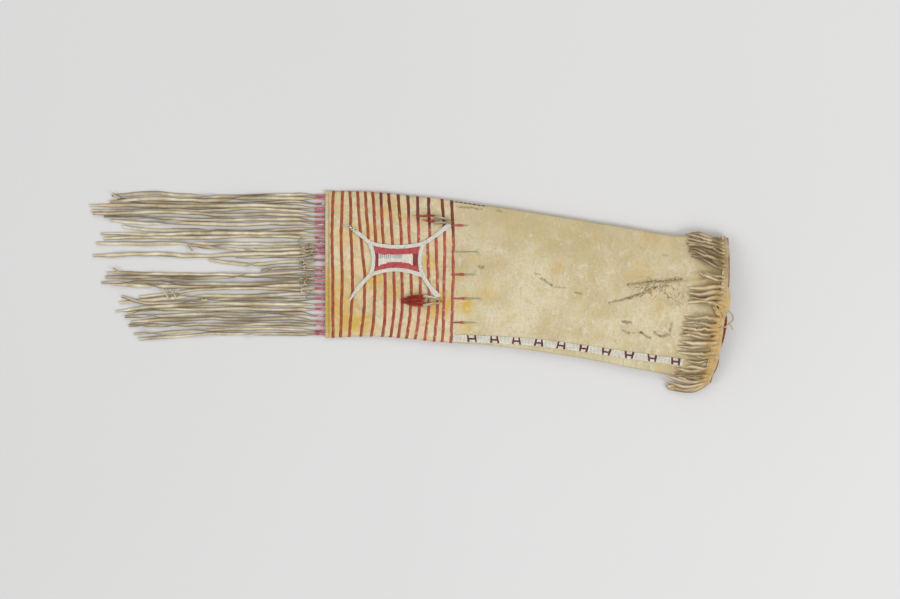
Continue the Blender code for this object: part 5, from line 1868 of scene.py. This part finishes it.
class PIPEBAG_OT_stitches(bpy.types.Operator):
    """Sews the hem seam, the header seam and the dark stitches at the side"""

    bl_idname = "pipebag.stitches"
    bl_label = "Stitches"

    def execute(self, context):
        rng = np.random.default_rng(8)
        threads = []
        away, pitch, length, radius = HEM_STITCH
        for turn in np.arange(-0.985, 0.985, pitch):
            share = (away + rng.uniform(-0.0003, 0.0003)) / BAG_LENGTH
            threads.append(self.stitch(share, turn, share, turn + length, radius))
        away, pitch, length, radius = HEADER_STITCH
        lift = COLLAR_THICK + 0.0006
        for turn in np.arange(-0.98, 1.0, pitch):
            share = 1 - (away + rng.uniform(-0.0004, 0.0004)) / BAG_LENGTH
            threads.append(self.stitch(share, turn, share, turn + length, radius, lift))
        sinew = join(threads, "sinew_stitches")
        pale = strip_finish("sinew", (150, 128, 78), (190, 168, 114), (112, 90, 52))
        settle(sinew, [pale.material], "fringe_hide")
        darks = []
        count, first, pitch, length, radius = SIDE_STITCH
        for n in range(count):
            share = (first + pitch * n) / BAG_LENGTH
            darks.append(self.stitch(share, 0.990, share + length / BAG_LENGTH, 0.992, radius))
        dark = join(darks, "side_stitches")
        brown = strip_finish("dark_thread", (64, 50, 34), (98, 82, 56), (40, 30, 20))
        settle(dark, [brown.material], "fringe_hide")
        return {"FINISHED"}

    def stitch(self, share_a, turn_a, share_b, turn_b, radius, lift=0.0):
        """One stitch on the hide, from one place to another."""
        run = np.linspace(0, 1, 6)
        share, turn = share_a + (share_b - share_a) * run, turn_a + (turn_b - turn_a) * run
        path = SKIN.at(share, turn, lift + radius * (0.9 * np.sin(math.pi * run) - 0.1))
        return cap_ends(tube("stitch", path, radius, 6, turn_a * 50))


class PIPEBAG_PT_panel(bpy.types.Panel):
    """Lists the steps that make the bag"""

    bl_label = "Pipe Bag"
    bl_idname = "PIPEBAG_PT_panel"
    bl_space_type = "VIEW_3D"
    bl_region_type = "UI"
    bl_category = "Pipe Bag"

    def draw(self, context):
        for operator in OPERATORS:
            self.layout.operator(operator.bl_idname)
        for group in (context.scene.pipe_bag_sizes, context.scene.pipe_bag_colours):
            for name in type(group).__annotations__:
                self.layout.prop(group, name)


OPERATORS = (
    PIPEBAG_OT_stage,
    PIPEBAG_OT_hide,
    PIPEBAG_OT_fringe,
    PIPEBAG_OT_wraps,
    PIPEBAG_OT_lines,
    PIPEBAG_OT_collar,
    PIPEBAG_OT_edging,
    PIPEBAG_OT_lane,
    PIPEBAG_OT_figure,
    PIPEBAG_OT_cones,
    PIPEBAG_OT_hair,
    PIPEBAG_OT_stitches,
)
CLASSES = (PipeBagSizes, PipeBagColours, *OPERATORS, PIPEBAG_PT_panel)


def register():
    for made in CLASSES:
        bpy.utils.register_class(made)
    bpy.types.Scene.pipe_bag_sizes = bpy.props.PointerProperty(type=PipeBagSizes)
    bpy.types.Scene.pipe_bag_colours = bpy.props.PointerProperty(type=PipeBagColours)


def unregister():
    del bpy.types.Scene.pipe_bag_colours
    del bpy.types.Scene.pipe_bag_sizes
    for made in reversed(CLASSES):
        bpy.utils.unregister_class(made)


def main():
    register()
    for operator in OPERATORS:
        group, name = operator.bl_idname.split(".")
        getattr(getattr(bpy.ops, group), name)()


if __name__ == "__main__":
    main()
